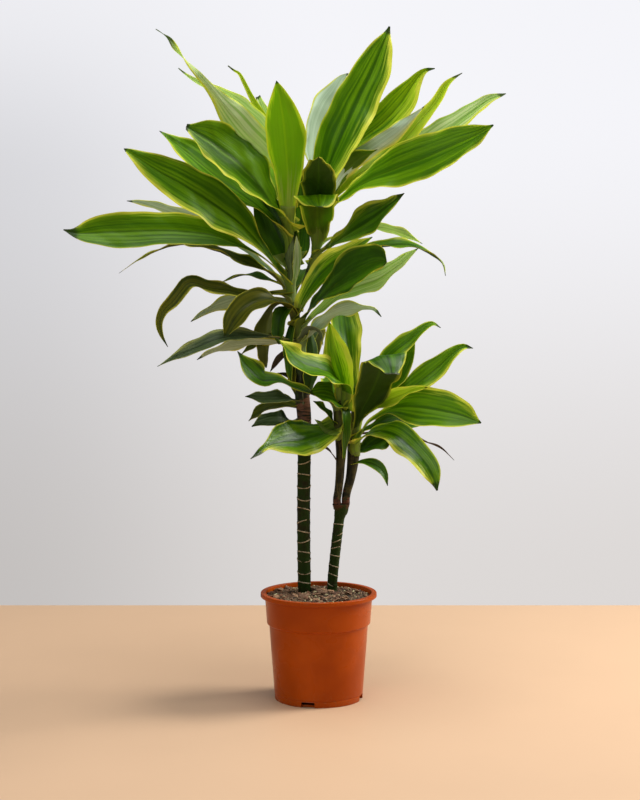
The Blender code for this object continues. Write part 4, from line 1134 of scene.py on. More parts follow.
@dataclass(frozen=True)
class LeafFinish(Finish):
    """The finish of a leaf: a glossy upper face, a matt underside and a yellow band at the margin.

    Attributes:
        deep: the darker green of the upper face.
        light: the lighter green of its streaks.
        under: the underside.
        margin: the band along the margin.
        roughness: of the upper face.
        through: the share of light that passes through the blade.
        glow: the colour of that light.
        cream: the colour towards the root of a young leaf.
        tip: the dark green before the end of the blade.
        brown: the dry end.
        gloss: how strongly the face reflects.
        streaked: how strongly the underside shows the green streaks.
        matt: the underside's roughness.
    """

    deep: Colour
    light: Colour
    under: Colour
    margin: Colour = (0.90, 0.88, 0.095)
    roughness: float = 0.36
    through: float = 0.35
    glow: Colour = (0.42, 0.74, 0.006)
    cream: Colour = (0.56, 0.60, 0.15)
    tip: Colour = (0.018, 0.040, 0.006)
    brown: Colour = (0.034, 0.034, 0.010)
    gloss: float = 0.15
    streaked: float = 0.42
    matt: float = 0.62

    def paint(self, sheet: NodeSheet) -> None:
        """Draw the blade, and let some light through it.

        Args:
            sheet: the material's sheet.
        """
        across, along = sheet.attribute("lane"), sheet.attribute("along")
        lines = sheet.add(
            "ShaderNodeGroup", {"node_tree": leaf_pattern()}, Across=across, Along=along,
            Seed=sheet.attribute("seed"),
        )
        under = sheet.attribute("under")
        colour = self.edge(sheet, lines, self.body(sheet, lines, under))
        rough = sheet.choose(under, lines["Mottle"] * 0.22 + (self.roughness - 0.11), self.matt)
        bump = sheet.coat(colour, rough, lines["Streaks"] * 0.7 + lines["Veins"], 0.45, 0.00022, self.gloss)
        behind = sheet.add("ShaderNodeBsdfTranslucent", Color=sheet.mix(0.45, colour, self.glow), Normal=bump)
        both = sheet.add("ShaderNodeMixShader", Fac=self.through)
        both.feed(1, sheet.own("Principled BSDF"))
        both.feed(2, behind)
        sheet.own("Material Output").feed("Surface", both)

    def body(self, sheet: NodeSheet, lines: Field, under: Field) -> Field:
        """Lay the greens of both faces, the midrib and the pale root.

        Args:
            sheet: the material's sheet.
            lines: the pattern node.
            under: the mask of the underside.

        Returns:
            The colour.
        """
        middle, pale = abs(sheet.attribute("across")), sheet.attribute("pale")
        streaks, veins = lines["Streaks"], lines["Veins"]
        green = sheet.mix(streaks, self.deep, self.light)
        green = sheet.mix(veins * 0.38, green, self.deep)
        green = sheet.mix(middle.ramp(0.02, 0.10, 0.62, 0.0), green, between(self.deep, BLACK, 0.6))
        back = sheet.mix(streaks * self.streaked, self.under, self.deep)
        back = sheet.mix(middle.ramp(0.03, 0.08, 0.7, 0.0), back, between(self.under, self.light, 0.4))
        body = sheet.mix(under, green, back)
        reach = (pale * 0.34 + 0.02) * (streaks * 0.9 + 0.55)
        far = sheet.attribute("along") / reach
        return sheet.mix(far.ramp(0.35, 1.0, 0.85, 0.0) * pale, body, self.cream)

    def edge(self, sheet: NodeSheet, lines: Field, body: Field) -> Field:
        """Lay the yellow band, the lime streaks beside it, the leaf's shade and its dark tip.

        Args:
            sheet: the material's sheet.
            lines: the pattern node.
            body: the colour between the margins.

        Returns:
            The colour.
        """
        ragged, rim = lines["Ragged"], sheet.attribute("rim")
        lime = between(self.light, self.margin, 0.38)
        body = sheet.mix((ragged * 1.1 + rim).ramp(1.2, 2.6, 0.75, 0.0), body, lime)
        band = sheet.mix(lines["Veins"], self.margin, between(self.margin, BLACK, 0.14))
        body = sheet.mix((ragged * 0.42 + rim).ramp(0.72, 1.22, 1.0, 0.0), body, band)
        body = sheet.mix(sheet.attribute("shade"), BLACK, body)
        end = ragged * 0.16 + sheet.attribute("tip")
        body = sheet.mix(end.ramp(0.70, 1.0, 0.93, 0.0), body, self.tip)
        return sheet.mix(end.ramp(0.1, 0.35, 1.0, 0.0), body, self.brown)


LEAF_FINISHES: dict[Tone, LeafFinish] = {
    Tone.GREEN: LeafFinish("leaf_green", (0.052, 0.165, 0.001), (0.200, 0.420, 0.003), (0.110, 0.200, 0.012)),
    Tone.GLOSSY: LeafFinish(
        "leaf_glossy_green", (0.040, 0.150, 0.001), (0.230, 0.460, 0.004), (0.140, 0.280, 0.012),
        roughness=0.24, gloss=0.55,
    ),
    # Deep finish: a dark green leaf whose underside is darkened far below a real underside's paler green,
    # painted shade for leaves in the canopy's shadow.
    Tone.DEEP: LeafFinish(
        "leaf_deep_green_and_painted_shade", (0.021, 0.080, 0.001), (0.080, 0.215, 0.002), (0.026, 0.062, 0.003),
        margin=(0.56, 0.60, 0.040), through=0.15, gloss=0.24,
    ),
    Tone.BRIGHT: LeafFinish(
        "leaf_bright_green", (0.110, 0.310, 0.001), (0.580, 0.820, 0.008), (0.300, 0.500, 0.014), through=0.46
    ),
    Tone.LIME: LeafFinish(
        "leaf_lime", (0.320, 0.500, 0.010), (0.560, 0.700, 0.035), (0.420, 0.560, 0.045), through=0.46,
        glow=(0.70, 0.82, 0.03),
    ),
    Tone.BLUE: LeafFinish(
        "leaf_blue_green", (0.150, 0.290, 0.100), (0.360, 0.490, 0.230), (0.700, 0.840, 0.650), through=0.40,
        glow=(0.55, 0.75, 0.50),
    ),
    Tone.PALE: LeafFinish(
        "leaf_pale", (0.230, 0.460, 0.060), (0.860, 0.920, 0.520), (0.880, 0.940, 0.600), through=0.56,
        glow=(0.70, 0.92, 0.34), streaked=0.8,
    ),
    # Grey finish: a dull grey-green leaf with a dimmed margin band, darkened further as painted shade for the
    # low leaves under the canopy.
    Tone.GREY: LeafFinish(
        "leaf_grey_green_and_painted_shade", (0.024, 0.050, 0.010), (0.105, 0.150, 0.056), (0.150, 0.190, 0.115),
        margin=(0.44, 0.48, 0.140), through=0.14,
    ),
    Tone.OLIVE: LeafFinish(
        "leaf_olive", (0.040, 0.055, 0.004), (0.150, 0.150, 0.010), (0.085, 0.092, 0.010),
        margin=(0.62, 0.58, 0.070), through=0.26,
    ),
    Tone.DRIED: LeafFinish(
        "leaf_dried", (0.025, 0.018, 0.008), (0.065, 0.043, 0.018), (0.045, 0.030, 0.013),
        margin=(0.09, 0.06, 0.025), roughness=0.6, through=0.05,
    ),
}


class BladeTree:
    """The geometry tree of a blade: a grid laid along the midrib's stations, shaped, marked and thickened."""

    COLUMNS = 17
    THICKNESS = 0.0005
    RIB_DEPTH = 0.0007
    RIB_HALF_WIDTH = 0.0018
    ROOT_CURL = 1.1
    ROOT_SHARE = 6.0
    SWELL = 0.0011
    SWELL_SCALE = 34.0
    WAVED_HALF_WIDTH = 0.012
    LINED_HALF_WIDTH = 0.011
    LEAST_BAND = 0.0003
    MERGE = 1e-5
    MEASURES = (
        "Fold", "Wave", "Waves", "Ruffle", "Ruffles", "Phase", "Left Margin", "Right Margin", "Shade", "Seed",
        "Dark Tip", "Pale",
    )

    def __init__(self) -> None:
        """Build the tree."""
        self.sheet, self.get, given = new_growth("blade", {"Rows": 60, **dict.fromkeys(self.MEASURES, 0.0)})
        sheet, rows = self.sheet, self.get["Rows"]
        grid = sheet.add("GeometryNodeMeshGrid", Size_X=2.0, Size_Y=1.0)
        grid.feed("Vertices X", self.COLUMNS)
        grid.feed("Vertices Y", rows)
        flat = sheet.parts(sheet.position())
        mesh = sheet.store(grid, "across", flat["X"])
        mesh = sheet.store(mesh, "along", flat["Y"] + 0.5)
        self.across, self.along = sheet.named("across"), sheet.named("along")
        self.is_left = self.across < 0.0
        row = sheet.math("ROUND", self.along * (rows - 1))

        def station(name: str, kind: str = "FLOAT_VECTOR") -> Field:
            """One of the midrib's attributes at the point's own station."""
            source = sheet.position() if name == "place" else sheet.named(name, kind)
            stations = self.get["Geometry"]
            return sheet.add(
                "GeometryNodeSampleIndex", {"data_type": kind}, Geometry=stations, Value=source, Index=row
            )

        self.half = sheet.choose(self.is_left, station("right", "FLOAT"), station("left", "FLOAT"))
        side, face, self.place = station("side"), station("face"), station("place")
        self.out = self.across * self.half
        moved = sheet.vector("ADD", self.place, sheet.vector("SCALE", side, self.out))
        moved = sheet.vector("ADD", moved, sheet.vector("SCALE", face, self.rise()))
        mesh = self.mark(sheet.add("GeometryNodeSetPosition", Geometry=mesh, Position=moved))
        mesh = sheet.store(mesh, "lean", face, "FLOAT_VECTOR")
        drop = sheet.vector("SCALE", sheet.named("lean", "FLOAT_VECTOR"), -self.THICKNESS)
        thick = sheet.add("GeometryNodeExtrudeMesh", Mesh=mesh, Offset=drop, Individual=False)
        shell = sheet.store(thick["Mesh"], "under", thick["Top"], domain="FACE")
        both = sheet.add("GeometryNodeJoinGeometry")
        both.feed("Geometry", sheet.add("GeometryNodeFlipFaces", Mesh=shell))
        both.feed("Geometry", mesh)
        sealed = sheet.add("GeometryNodeMergeByDistance", Geometry=both, Distance=self.MERGE)
        smooth = sheet.add("GeometryNodeSetShadeSmooth", Geometry=sealed, Shade_Smooth=True)
        self.tree = hand_out(smooth, self.get, given)

    def ripple(self, height: Field, count: Field, lean: float, phase: Any, power: float) -> Field:
        """A wave that grows towards the margin.

        Args:
            height: the wave's height at the margin.
            count: how many there are along the blade.
            lean: how far its crests slant.
            phase: where it starts.
            power: how late it grows.

        Returns:
            The wave's rise.
        """
        turn = count * self.along * math.tau + (self.across * lean + phase)
        return self.sheet.math("SINE", turn) * abs(self.across) ** power * height

    def rise(self) -> Field:
        """The blade's height over its midrib: fold, waves, ruffles, root curl, swells and midrib channel.

        Returns:
            The rise along the face's direction.
        """
        sheet, get, across, half = self.sheet, self.get, self.across, self.half
        wide = abs(across)
        soft = sheet.math("MINIMUM", half / self.WAVED_HALF_WIDTH, 1.0)
        fold = get["Fold"] * half * wide**1.5
        waves = self.ripple(get["Wave"], get["Waves"], 1.3, 0.0, 2.0) * soft
        ruffles = self.ripple(get["Ruffle"], get["Ruffles"], 2.6, get["Phase"], 3.0) * soft
        near = self.out / self.RIB_HALF_WIDTH
        dip = sheet.math("EXPONENT", near * near * -1.0) * self.RIB_DEPTH * soft
        root = sheet.math("MAXIMUM", self.along * -self.ROOT_SHARE + 1.0, 0.0)
        curl = root * root * (half * self.ROOT_CURL) * (wide * wide)
        spot = sheet.add("ShaderNodeCombineXYZ", X=self.out * 1.6, Y=get["Phase"])
        swells = sheet.noise(sheet.vector("ADD", self.place, spot), self.SWELL_SCALE, 1.0)
        swells = (swells - 0.5) * (4.0 * self.SWELL) * soft
        return fold + waves + (ruffles + curl) + swells - dip + self.THICKNESS / 2

    def mark(self, mesh: Field) -> Field:
        """Store what the finish reads: the margin band, the lane of its lines, the tip, root, shade and seed.

        Args:
            mesh: the blade.

        Returns:
            The marked blade.
        """
        sheet, get = self.sheet, self.get
        narrow = sheet.math("MINIMUM", self.half / self.LINED_HALF_WIDTH, 1.0)
        band = sheet.choose(self.is_left, get["Right Margin"], get["Left Margin"]) * narrow
        inward = (1.0 - abs(self.across)) * self.half
        marks = {
            "lane": self.across * narrow,
            "rim": inward / sheet.math("MAXIMUM", band, self.LEAST_BAND),
            "tip": (1.0 - self.along) / get["Dark Tip"],
            "pale": get["Pale"], "shade": get["Shade"], "seed": get["Seed"],
        }
        for name, value in marks.items():
            mesh = sheet.store(mesh, name, value)
        return mesh


@dataclass
class BladeMaker:
    """Grows every leaf blade along its midrib with one geometry tree.

    Attributes:
        rows_per_metre: the stations along the midrib.
        fewest_rows: of the shortest blade.
        ruffle: the height of the short waves at the margin.
        ruffle_length: the length of one of them.
        wander: how far a margin strays, as a share of the half width.
        dried_ruffle: the strength of the short waves on a dried leaf.
        least_shade: the brightness of the darkest leaf of a finish, as a share of the lightest's.
        seed: for each leaf's own variation.
    """

    rows_per_metre: float = 210.0
    fewest_rows: int = 14
    ruffle: float = 0.0012
    ruffle_length: float = 0.042
    wander: float = 0.026
    dried_ruffle: float = 0.3
    least_shade: float = 0.84
    seed: int = 11

    def __post_init__(self) -> None:
        """Build the finishes and the tree once."""
        self.finishes = {tone: finish.make() for tone, finish in LEAF_FINISHES.items()}
        self.tree = BladeTree().tree

    def edge(self, frames: list[BladeFrame], draw: random.Random) -> list[float]:
        """Let one margin wander a little.

        Args:
            frames: the blade's stations.
            draw: the leaf's own random numbers.

        Returns:
            The half width at each station, in metres.
        """
        lobes = [(draw.uniform(0.5, 1.3), draw.uniform(0, math.tau)) for _ in range(4)]
        widths = []
        for f in frames:
            sway = sum(a * math.sin(math.tau * (1.5 + 1.3 * k) * f.t + p) for k, (a, p) in enumerate(lobes))
            widths.append(f.half * (1 + self.wander * sway * math.sin(math.pi * f.t)))
        return widths

    def grow(self, name: str, leaf: Leaf) -> Object:
        """Grow one leaf.

        Args:
            name: the piece's name.
            leaf: the leaf.

        Returns:
            The blade as a closed mesh.
        """
        draw = random.Random(f"{self.seed}:{name}")
        length = smooth_line(leaf.path, 2)[1]
        rows = max(self.fewest_rows, round(length * self.rows_per_metre))
        frames = blade_frames(leaf, rows)
        obj = line_object(
            name, [f.place for f in frames], side=[f.side for f in frames], face=[f.face for f in frames],
            left=self.edge(frames, draw), right=self.edge(frames, draw),
        )
        ruffled = self.dried_ruffle if leaf.tone is Tone.DRIED else leaf.ruffle
        values = {
            "Rows": rows, "Fold": math.tan(math.radians(leaf.fold)),
            "Wave": leaf.wave * MM, "Waves": leaf.waves,
            "Ruffle": self.ruffle * ruffled, "Ruffles": max(2.0, length / self.ruffle_length),
            "Phase": draw.uniform(0, math.tau),
            "Left Margin": leaf.margins[0] * MM, "Right Margin": leaf.margins[1] * MM,
            "Shade": draw.uniform(self.least_shade, 1.0), "Seed": draw.uniform(0, 10),
            "Dark Tip": leaf.tip * MM / length, "Pale": leaf.base,
            "Finish": self.finishes[leaf.tone],
        }
        grow_with(obj, self.tree, values)
        obj.data.set_sharp_from_angle(angle=SHARP_EDGE)
        return obj


@dataclass(frozen=True)
class StemFinish(Finish):
    """The skin of a leafy stem: striped and patched, banded at its foot and fresher near its top.

    Attributes:
        skin: its lighter patches.
        shaded: its darker patches.
        strip: the thin pale lines of old leaf bases.
        foot: the dry skin low down.
        foot_top: the height at which that ends, in metres.
        fresh: the skin of the young part.
        fresh_from: the height at which that starts, in metres.
    """

    skin: Colour
    shaded: Colour
    strip: Colour
    foot: Colour
    foot_top: float
    fresh: Colour
    fresh_from: float

    def paint(self, sheet: NodeSheet) -> None:
        """Draw the patches, the stripes along the stem and the bands round it.

        Args:
            sheet: the material's sheet.
        """
        place = sheet.object_place()
        stripes = sheet.noise(sheet.drawn_out(place, (1.0, 1.0, 0.06)), 420.0, 3.0)
        bands = sheet.noise(sheet.drawn_out(place, (0.12, 0.12, 1.0)), 230.0, 3.0)
        patches = sheet.noise(place, 60.0, 4.0, 0.6)
        wander = patches * 0.08 + (sheet.parts(place)["Z"] - 0.04)
        colour = sheet.mix(patches.ramp(0.40, 0.62), self.shaded, self.skin)
        colour = sheet.mix(stripes.ramp(0.56, 0.64, 0.0, 0.7), colour, self.strip)
        fresh = sheet.mix(stripes.ramp(0.35, 0.65), self.fresh, self.skin)
        colour = sheet.mix(wander.ramp(self.fresh_from, self.fresh_from + 0.03), colour, fresh)
        dry = sheet.mix(bands.ramp(0.47, 0.58), self.shaded, self.foot)
        colour = sheet.mix(wander.ramp(self.foot_top - 0.004, self.foot_top, 1.0, 0.0), colour, dry)
        colour = sheet.mix(bands.ramp(0.62, 0.68, 0.0, 0.6), colour, self.shaded)
        sheet.coat(colour, stripes.ramp(0.2, 0.8, 0.45, 0.65), stripes + bands, 0.6, 0.0006, 0.25)


TALL_SKIN = StemFinish(
    "tall_stem_skin", skin=(0.040, 0.060, 0.014), shaded=(0.007, 0.012, 0.003), strip=(0.230, 0.260, 0.150),
    foot=(0.170, 0.075, 0.040), foot_top=0.440, fresh=(0.150, 0.200, 0.070), fresh_from=0.530,
)
SHORT_SKIN = StemFinish(
    "short_stem_skin", skin=(0.042, 0.038, 0.007), shaded=(0.007, 0.009, 0.002), strip=(0.085, 0.070, 0.020),
    foot=(0.110, 0.034, 0.014), foot_top=0.300, fresh=(0.090, 0.105, 0.014), fresh_from=0.360,
)


@dataclass(frozen=True)
class BarkFinish(Finish):
    """The bark of a bare cane: dark green, brown patches, fine cracks, and red-brown where it forks."""

    name: str = "cane_bark"
    green: Colour = (0.011, 0.030, 0.001)
    brown: Colour = (0.014, 0.014, 0.002)
    grey: Colour = (0.050, 0.052, 0.012)
    fork: Colour = (0.070, 0.026, 0.010)
    fork_from: float = 9.0

    def paint(self, sheet: NodeSheet) -> None:
        """Draw the patches, the cracks and the fork.

        Args:
            sheet: the material's sheet.
        """
        place = sheet.object_place()
        cracks = sheet.noise(sheet.drawn_out(place, (1.0, 1.0, 0.12)), 620.0, 4.0, 0.6)
        patches = sheet.noise(place, 46.0, 4.0, 0.6)
        fine = sheet.noise(place, 900.0, 2.0)
        colour = sheet.mix(patches.ramp(0.48, 0.66), self.green, self.brown)
        colour = sheet.mix(cracks.ramp(0.60, 0.78, 0.0, 0.5), colour, self.grey)
        wander = patches * 0.06 + (sheet.parts(place)["Z"] - 0.03)
        colour = sheet.mix(wander.ramp(self.fork_from, self.fork_from + 0.012), colour, self.fork)
        sheet.coat(colour, fine.ramp(0.3, 0.7, 0.45, 0.7), fine * 0.3 + cracks, 0.6, 0.0006, 0.14)


@dataclass(frozen=True)
class ScarFinish(Finish):
    """The corky line that a fallen leaf leaves on a cane."""

    name: str = "leaf_scar"
    cork: Colour = (0.40, 0.32, 0.20)
    stain: Colour = (0.130, 0.085, 0.042)

    def paint(self, sheet: NodeSheet) -> None:
        """Draw the stains on the cork.

        Args:
            sheet: the material's sheet.
        """
        patches = sheet.noise(sheet.object_place(), 260.0, 4.0, 0.65)
        colour = sheet.mix(patches.ramp(0.46, 0.66), self.cork, self.stain)
        sheet.coat(colour, patches.ramp(0.3, 0.7, 0.7, 0.9), patches, 0.5, 0.0003)


@dataclass
class StemMaker:
    """Grows round stems and their rings with geometry trees.

    Attributes:
        sides: round the stem.
        ring_sides: round a scar's ring.
        grain: how far the skin wanders from round.
        ragged: how far a ring wanders.
        ring: a ring's thickness as a share of the stem's radius.
        doubled: how near doubled points lie.
    """

    sides: int = 40
    ring_sides: int = 48
    grain: float = 0.0004
    ragged: float = 0.0008
    ring: float = 0.10
    doubled: float = 2e-6

    def __post_init__(self) -> None:
        """Build both trees once."""
        self.tube = self.tube_tree()
        self.rings = self.ring_tree()

    def tube_tree(self) -> NodeTree:
        """Build the tree that sweeps a round section along a line that carries its girth.

        Returns:
            The geometry tree.
        """
        sheet, get, given = new_growth("round_stem", {})
        line = sheet.add("GeometryNodeMeshToCurve", Mesh=get["Geometry"])
        section = sheet.add("GeometryNodeCurvePrimitiveCircle", Resolution=self.sides, Radius=1.0)
        skin = sheet.add("GeometryNodeCurveToMesh", Curve=line, Profile_Curve=section, Fill_Caps=True)
        skin.feed("Scale", sheet.named("girth"))
        push = (sheet.noise(sheet.position(), 140.0, 3.0) - 0.5) * self.grain
        push = sheet.vector("SCALE", sheet.add("GeometryNodeInputNormal"), push)
        skin = sheet.add("GeometryNodeSetPosition", Geometry=skin, Offset=push)
        return hand_out(sheet.add("GeometryNodeSetShadeSmooth", Geometry=skin, Shade_Smooth=True), get, given)

    def ring_tree(self) -> NodeTree:
        """Build the tree that sets a tilted ring round the stem at each scar.

        Returns:
            The geometry tree.
        """
        sheet, get, given = new_growth("scar_rings", {})
        line = sheet.add("GeometryNodeCurvePrimitiveCircle", Resolution=self.ring_sides, Radius=1.0)
        section = sheet.add("GeometryNodeCurvePrimitiveCircle", Resolution=7, Radius=1.0)
        ring = sheet.add("GeometryNodeCurveToMesh", Curve=line, Profile_Curve=section, Scale=self.ring)
        spots = sheet.add("GeometryNodeMeshToPoints", Mesh=get["Geometry"])
        set_on = sheet.add(
            "GeometryNodeInstanceOnPoints", Points=spots, Instance=ring,
            Rotation=sheet.named("tilt", "FLOAT_VECTOR"), Scale=sheet.named("girth"),
        )
        real = sheet.add("GeometryNodeRealizeInstances", Geometry=set_on)
        push = sheet.vector("SUBTRACT", sheet.noise(sheet.position(), 120.0)["Color"], MIDDLE)
        push = sheet.vector("SCALE", push, self.ragged)
        real = sheet.add("GeometryNodeSetPosition", Geometry=real, Offset=push)
        return hand_out(sheet.add("GeometryNodeSetShadeSmooth", Geometry=real, Shade_Smooth=True), get, given)

    def stem(self, name: str, points: np.ndarray, girths: Iterable[float], finish: Material) -> Object:
        """Grow a round stem.

        Args:
            name: the piece's name.
            points: the centre line.
            girths: the radius at each point.
            finish: the material.

        Returns:
            The stem as a closed mesh.
        """
        obj = line_object(name, points, girth=list(girths))
        mended(grow_with(obj, self.tube, {"Finish": finish}), self.doubled)
        obj.data.set_sharp_from_angle(angle=SHARP_EDGE)
        return obj


@dataclass
class Cane:
    """A bare cane: a ringed, barked stem.

    Attributes:
        node: the solid's name.
        line: the centre line in millimetres.
        scars: the heights of its leaf scars in millimetres.
        radius: of the cane.
        top_radius: at its very top.
        seed: for the tilt of the scars.
        swell: how far it swells below a scar, as a share of its radius.
        swell_height: how far down that reaches.
        flare_height: how far below its top it starts to widen to its top radius.
        lean: the least and the greatest tilt of a scar, in degrees.
    """

    node: str
    line: tuple[Point, ...]
    scars: tuple[float, ...]
    radius: float
    top_radius: float
    seed: int
    swell: float = 0.05
    swell_height: float = 0.004
    flare_height: float = 0.02
    lean: tuple[float, float] = (9, 25)

    def build(self, maker: StemMaker, bark: Material, cork: Material) -> None:
        """Build the cane and its scars.

        Args:
            maker: grows the stem.
            bark: the cane's finish.
            cork: the scars' finish.
        """
        points, _ = smooth_line(self.line, CANE_STATIONS)
        heights = points[:, 2]
        girths = []
        for h in heights:
            below = min((s * MM - h for s in self.scars if s * MM >= h), default=self.flare_height)
            swell = 1 + self.swell * math.exp(-((below / self.swell_height) ** 2))
            top = max(0.0, 1 - (heights[-1] - h) / self.flare_height)
            girths.append(self.radius * swell + (self.top_radius - self.radius) * top)
        place_piece(maker.stem(f"{self.node}_bark", points, girths, bark), self.node)
        draw = random.Random(self.seed)
        spots, tilts = [], []
        for scar in self.scars:
            spots.append(Vector([float(np.interp(scar * MM, heights, points[:, k])) for k in range(3)]))
            lean = math.radians(draw.uniform(*self.lean))
            way = draw.uniform(0, math.tau)
            tilts.append((lean * math.cos(way), lean * math.sin(way), draw.uniform(0, math.tau)))
        rings = line_object(f"{self.node}_leaf_scars", spots, girth=[self.radius] * len(spots), tilt=tilts)
        place_piece(grow_with(rings, maker.rings, {"Finish": cork}), self.node)


@dataclass
class LeafyHead:
    """A leafy head: a stem with its leaves, each with a base that clasps the stem.

    Attributes:
        node: the solid's name.
        shoot: the stem.
        leaves: the leaves by name.
        below: how far under the leaf's root its base starts.
        tall: how tall the base is.
        reach: how far along the leaf it opens.
        skin: how far it stands off the stem.
        wall: its thickness.
        steps: its rows of points.
        wide: the points in a row.
        opening: how far round the stem each side reaches, in degrees, at its foot, higher up and at its top.
        knees: the shares of the base's height that those three belong to.
        flare: how much further the base stands off the stem at its top.
        farthest: the share of the leaf that the base may reach at most.
        stations: along the midrib, to read the base's own place from.
    """

    node: str
    shoot: Stem
    leaves: dict[str, Leaf]
    below: float = 0.020
    tall: float = 0.028
    reach: float = 0.030
    skin: float = 0.0004
    wall: float = 0.0005
    steps: int = 14
    wide: int = 13
    opening: Point = (30.0, 145.0, 110.0)
    knees: Point = (0.0, 0.6, 1.0)
    flare: float = 0.001
    farthest: float = 0.2
    stations: int = 60

    def girth(self, share: float) -> float:
        """The stem's radius at a share of its length, in metres."""
        return eased(self.shoot.radii, share) * MM

    def build(self, stems: StemMaker, blades: BladeMaker, skin: Material) -> None:
        """Build the stem and the leaves with their clasping bases.

        Args:
            stems: grows the stem.
            blades: grows the leaves.
            skin: the stem's finish.
        """
        points, _ = smooth_line(self.shoot.path, STEM_STATIONS)
        girths = [self.girth(s) for s in np.linspace(0, 1, len(points))]
        place_piece(stems.stem(f"{self.node}_stem", points, girths, skin), self.node)
        prefix = self.node.removesuffix("_head")
        for name, leaf in self.leaves.items():
            blade = blades.grow(f"{prefix}_{name}", leaf)
            if leaf.base > 0 and leaf.tone is not Tone.DRIED:
                blade = joined(blade.name, [blade, self.clasp(leaf, points, blade)])
            place_piece(blade, self.node)

    def clasp(self, leaf: Leaf, stem: np.ndarray, blade: Object) -> Object:
        """Build a leaf's base, which starts round the stem and opens into the blade.

        Args:
            leaf: the leaf.
            stem: the stem's centre line.
            blade: the leaf's blade, whose finish and marks the base shares.

        Returns:
            The base as a thin closed shell.
        """
        frames = blade_frames(leaf, self.stations)
        last = len(frames) - 1
        reach = min(self.farthest, self.reach / smooth_line(leaf.path, 2)[1])
        root = frames[0].place
        level = int(np.argmin(np.abs(stem[:, 2] - root.z)))
        radius = self.girth(level / (len(stem) - 1)) + self.skin
        out = frames[round(reach * last)].place - root
        out.z = 0
        out = out.normalized() if out.length > 1e-4 else Vector((0, -1, 0))
        beside = Vector((0, 0, 1)).cross(out)
        if beside.dot(frames[3].side) < 0:
            beside = -beside
        own = {key: blade.data.attributes[key].data[0].value for key in ("shade", "seed")}
        rows, marks = [], []
        for v in (i / (self.steps - 1) for i in range(self.steps)):
            at = frames[min(last, round(v * reach * last))]
            height = root.z - self.below + self.tall * v
            centre = Vector([float(np.interp(height, stem[:, 2], stem[:, k])) for k in (0, 1)] + [height])
            widest = math.radians(float(np.interp(v, self.knees, self.opening)))
            row = []
            for u in np.linspace(-1, 1, self.wide):
                round_stem = out * math.cos(u * widest) + beside * math.sin(u * widest)
                wrap = centre + round_stem * (radius + self.flare * v)
                lift = at.half * abs(u) ** 1.5 * 0.4 - self.skin
                spread = at.place + at.side * (u * at.half * 1.02) + at.face * lift
                row.append(wrap.lerp(spread, v * v * (3 - 2 * v)))
                rim = (1 - abs(u)) * 12 * v + 3 * (1 - v)
                place = {"across": u, "lane": u * 0.6, "along": 0.0, "rim": rim, "tip": 50.0}
                marks.append({**place, "pale": leaf.base, **own})
            rows.append(row)
        facts = {key: [mark[key] for mark in marks] for key in marks[0]}
        obj = grid_object(f"{blade.name}_base", rows, blade.data.materials[-1], **facts)
        shell = obj.modifiers.new("wall", "SOLIDIFY")
        shell.thickness, shell.offset = self.wall, 0.0
        return apply_modifiers(obj)


@dataclass(frozen=True)
class PotFinish(Finish):
    """Moulded orange-brown plastic with a satin skin, faint scuffs and soil dust."""

    name: str = "terracotta_plastic"
    body: Colour = (0.43, 0.066, 0.0006)
    shade: Colour = (0.34, 0.048, 0.0004)
    dust: Colour = (0.26, 0.13, 0.055)

    def paint(self, sheet: NodeSheet) -> None:
        """Draw the plastic, the dust at its foot and inside its rim, and the scuffs.

        Args:
            sheet: the material's sheet.
        """
        place = sheet.object_place()
        cloud = sheet.noise(place, 14.0, 3.0)
        grain = sheet.noise(place, 1500.0, 1.0)
        drawn = sheet.drawn_out(place, (60.0, 60.0, 900.0))
        drawn.feed("Rotation", (0.3, 0.2, 0.0))
        scuffed = sheet.noise(drawn, 1.0, 4.0, 0.7).ramp(0.66, 0.8, 0.0, 0.35)
        specks = sheet.noise(place, 330.0, 3.0, 0.7).ramp(0.5, 0.72)
        height = sheet.parts(place)["Z"]
        ends = sheet.math("MAXIMUM", height.ramp(0.0, 0.03, 0.5, 0.0), height.ramp(0.149, 0.1575, 0.0, 0.35))
        colour = sheet.mix(cloud.ramp(0.3, 0.7), self.body, self.shade)
        colour = sheet.mix(ends * specks, colour, self.dust)
        colour = sheet.mix(scuffed, colour, self.dust)
        sheet.coat(colour, scuffed * 0.5 + cloud.ramp(0.3, 0.7, 0.24, 0.34), grain, 0.12, 0.0002, 0.12)


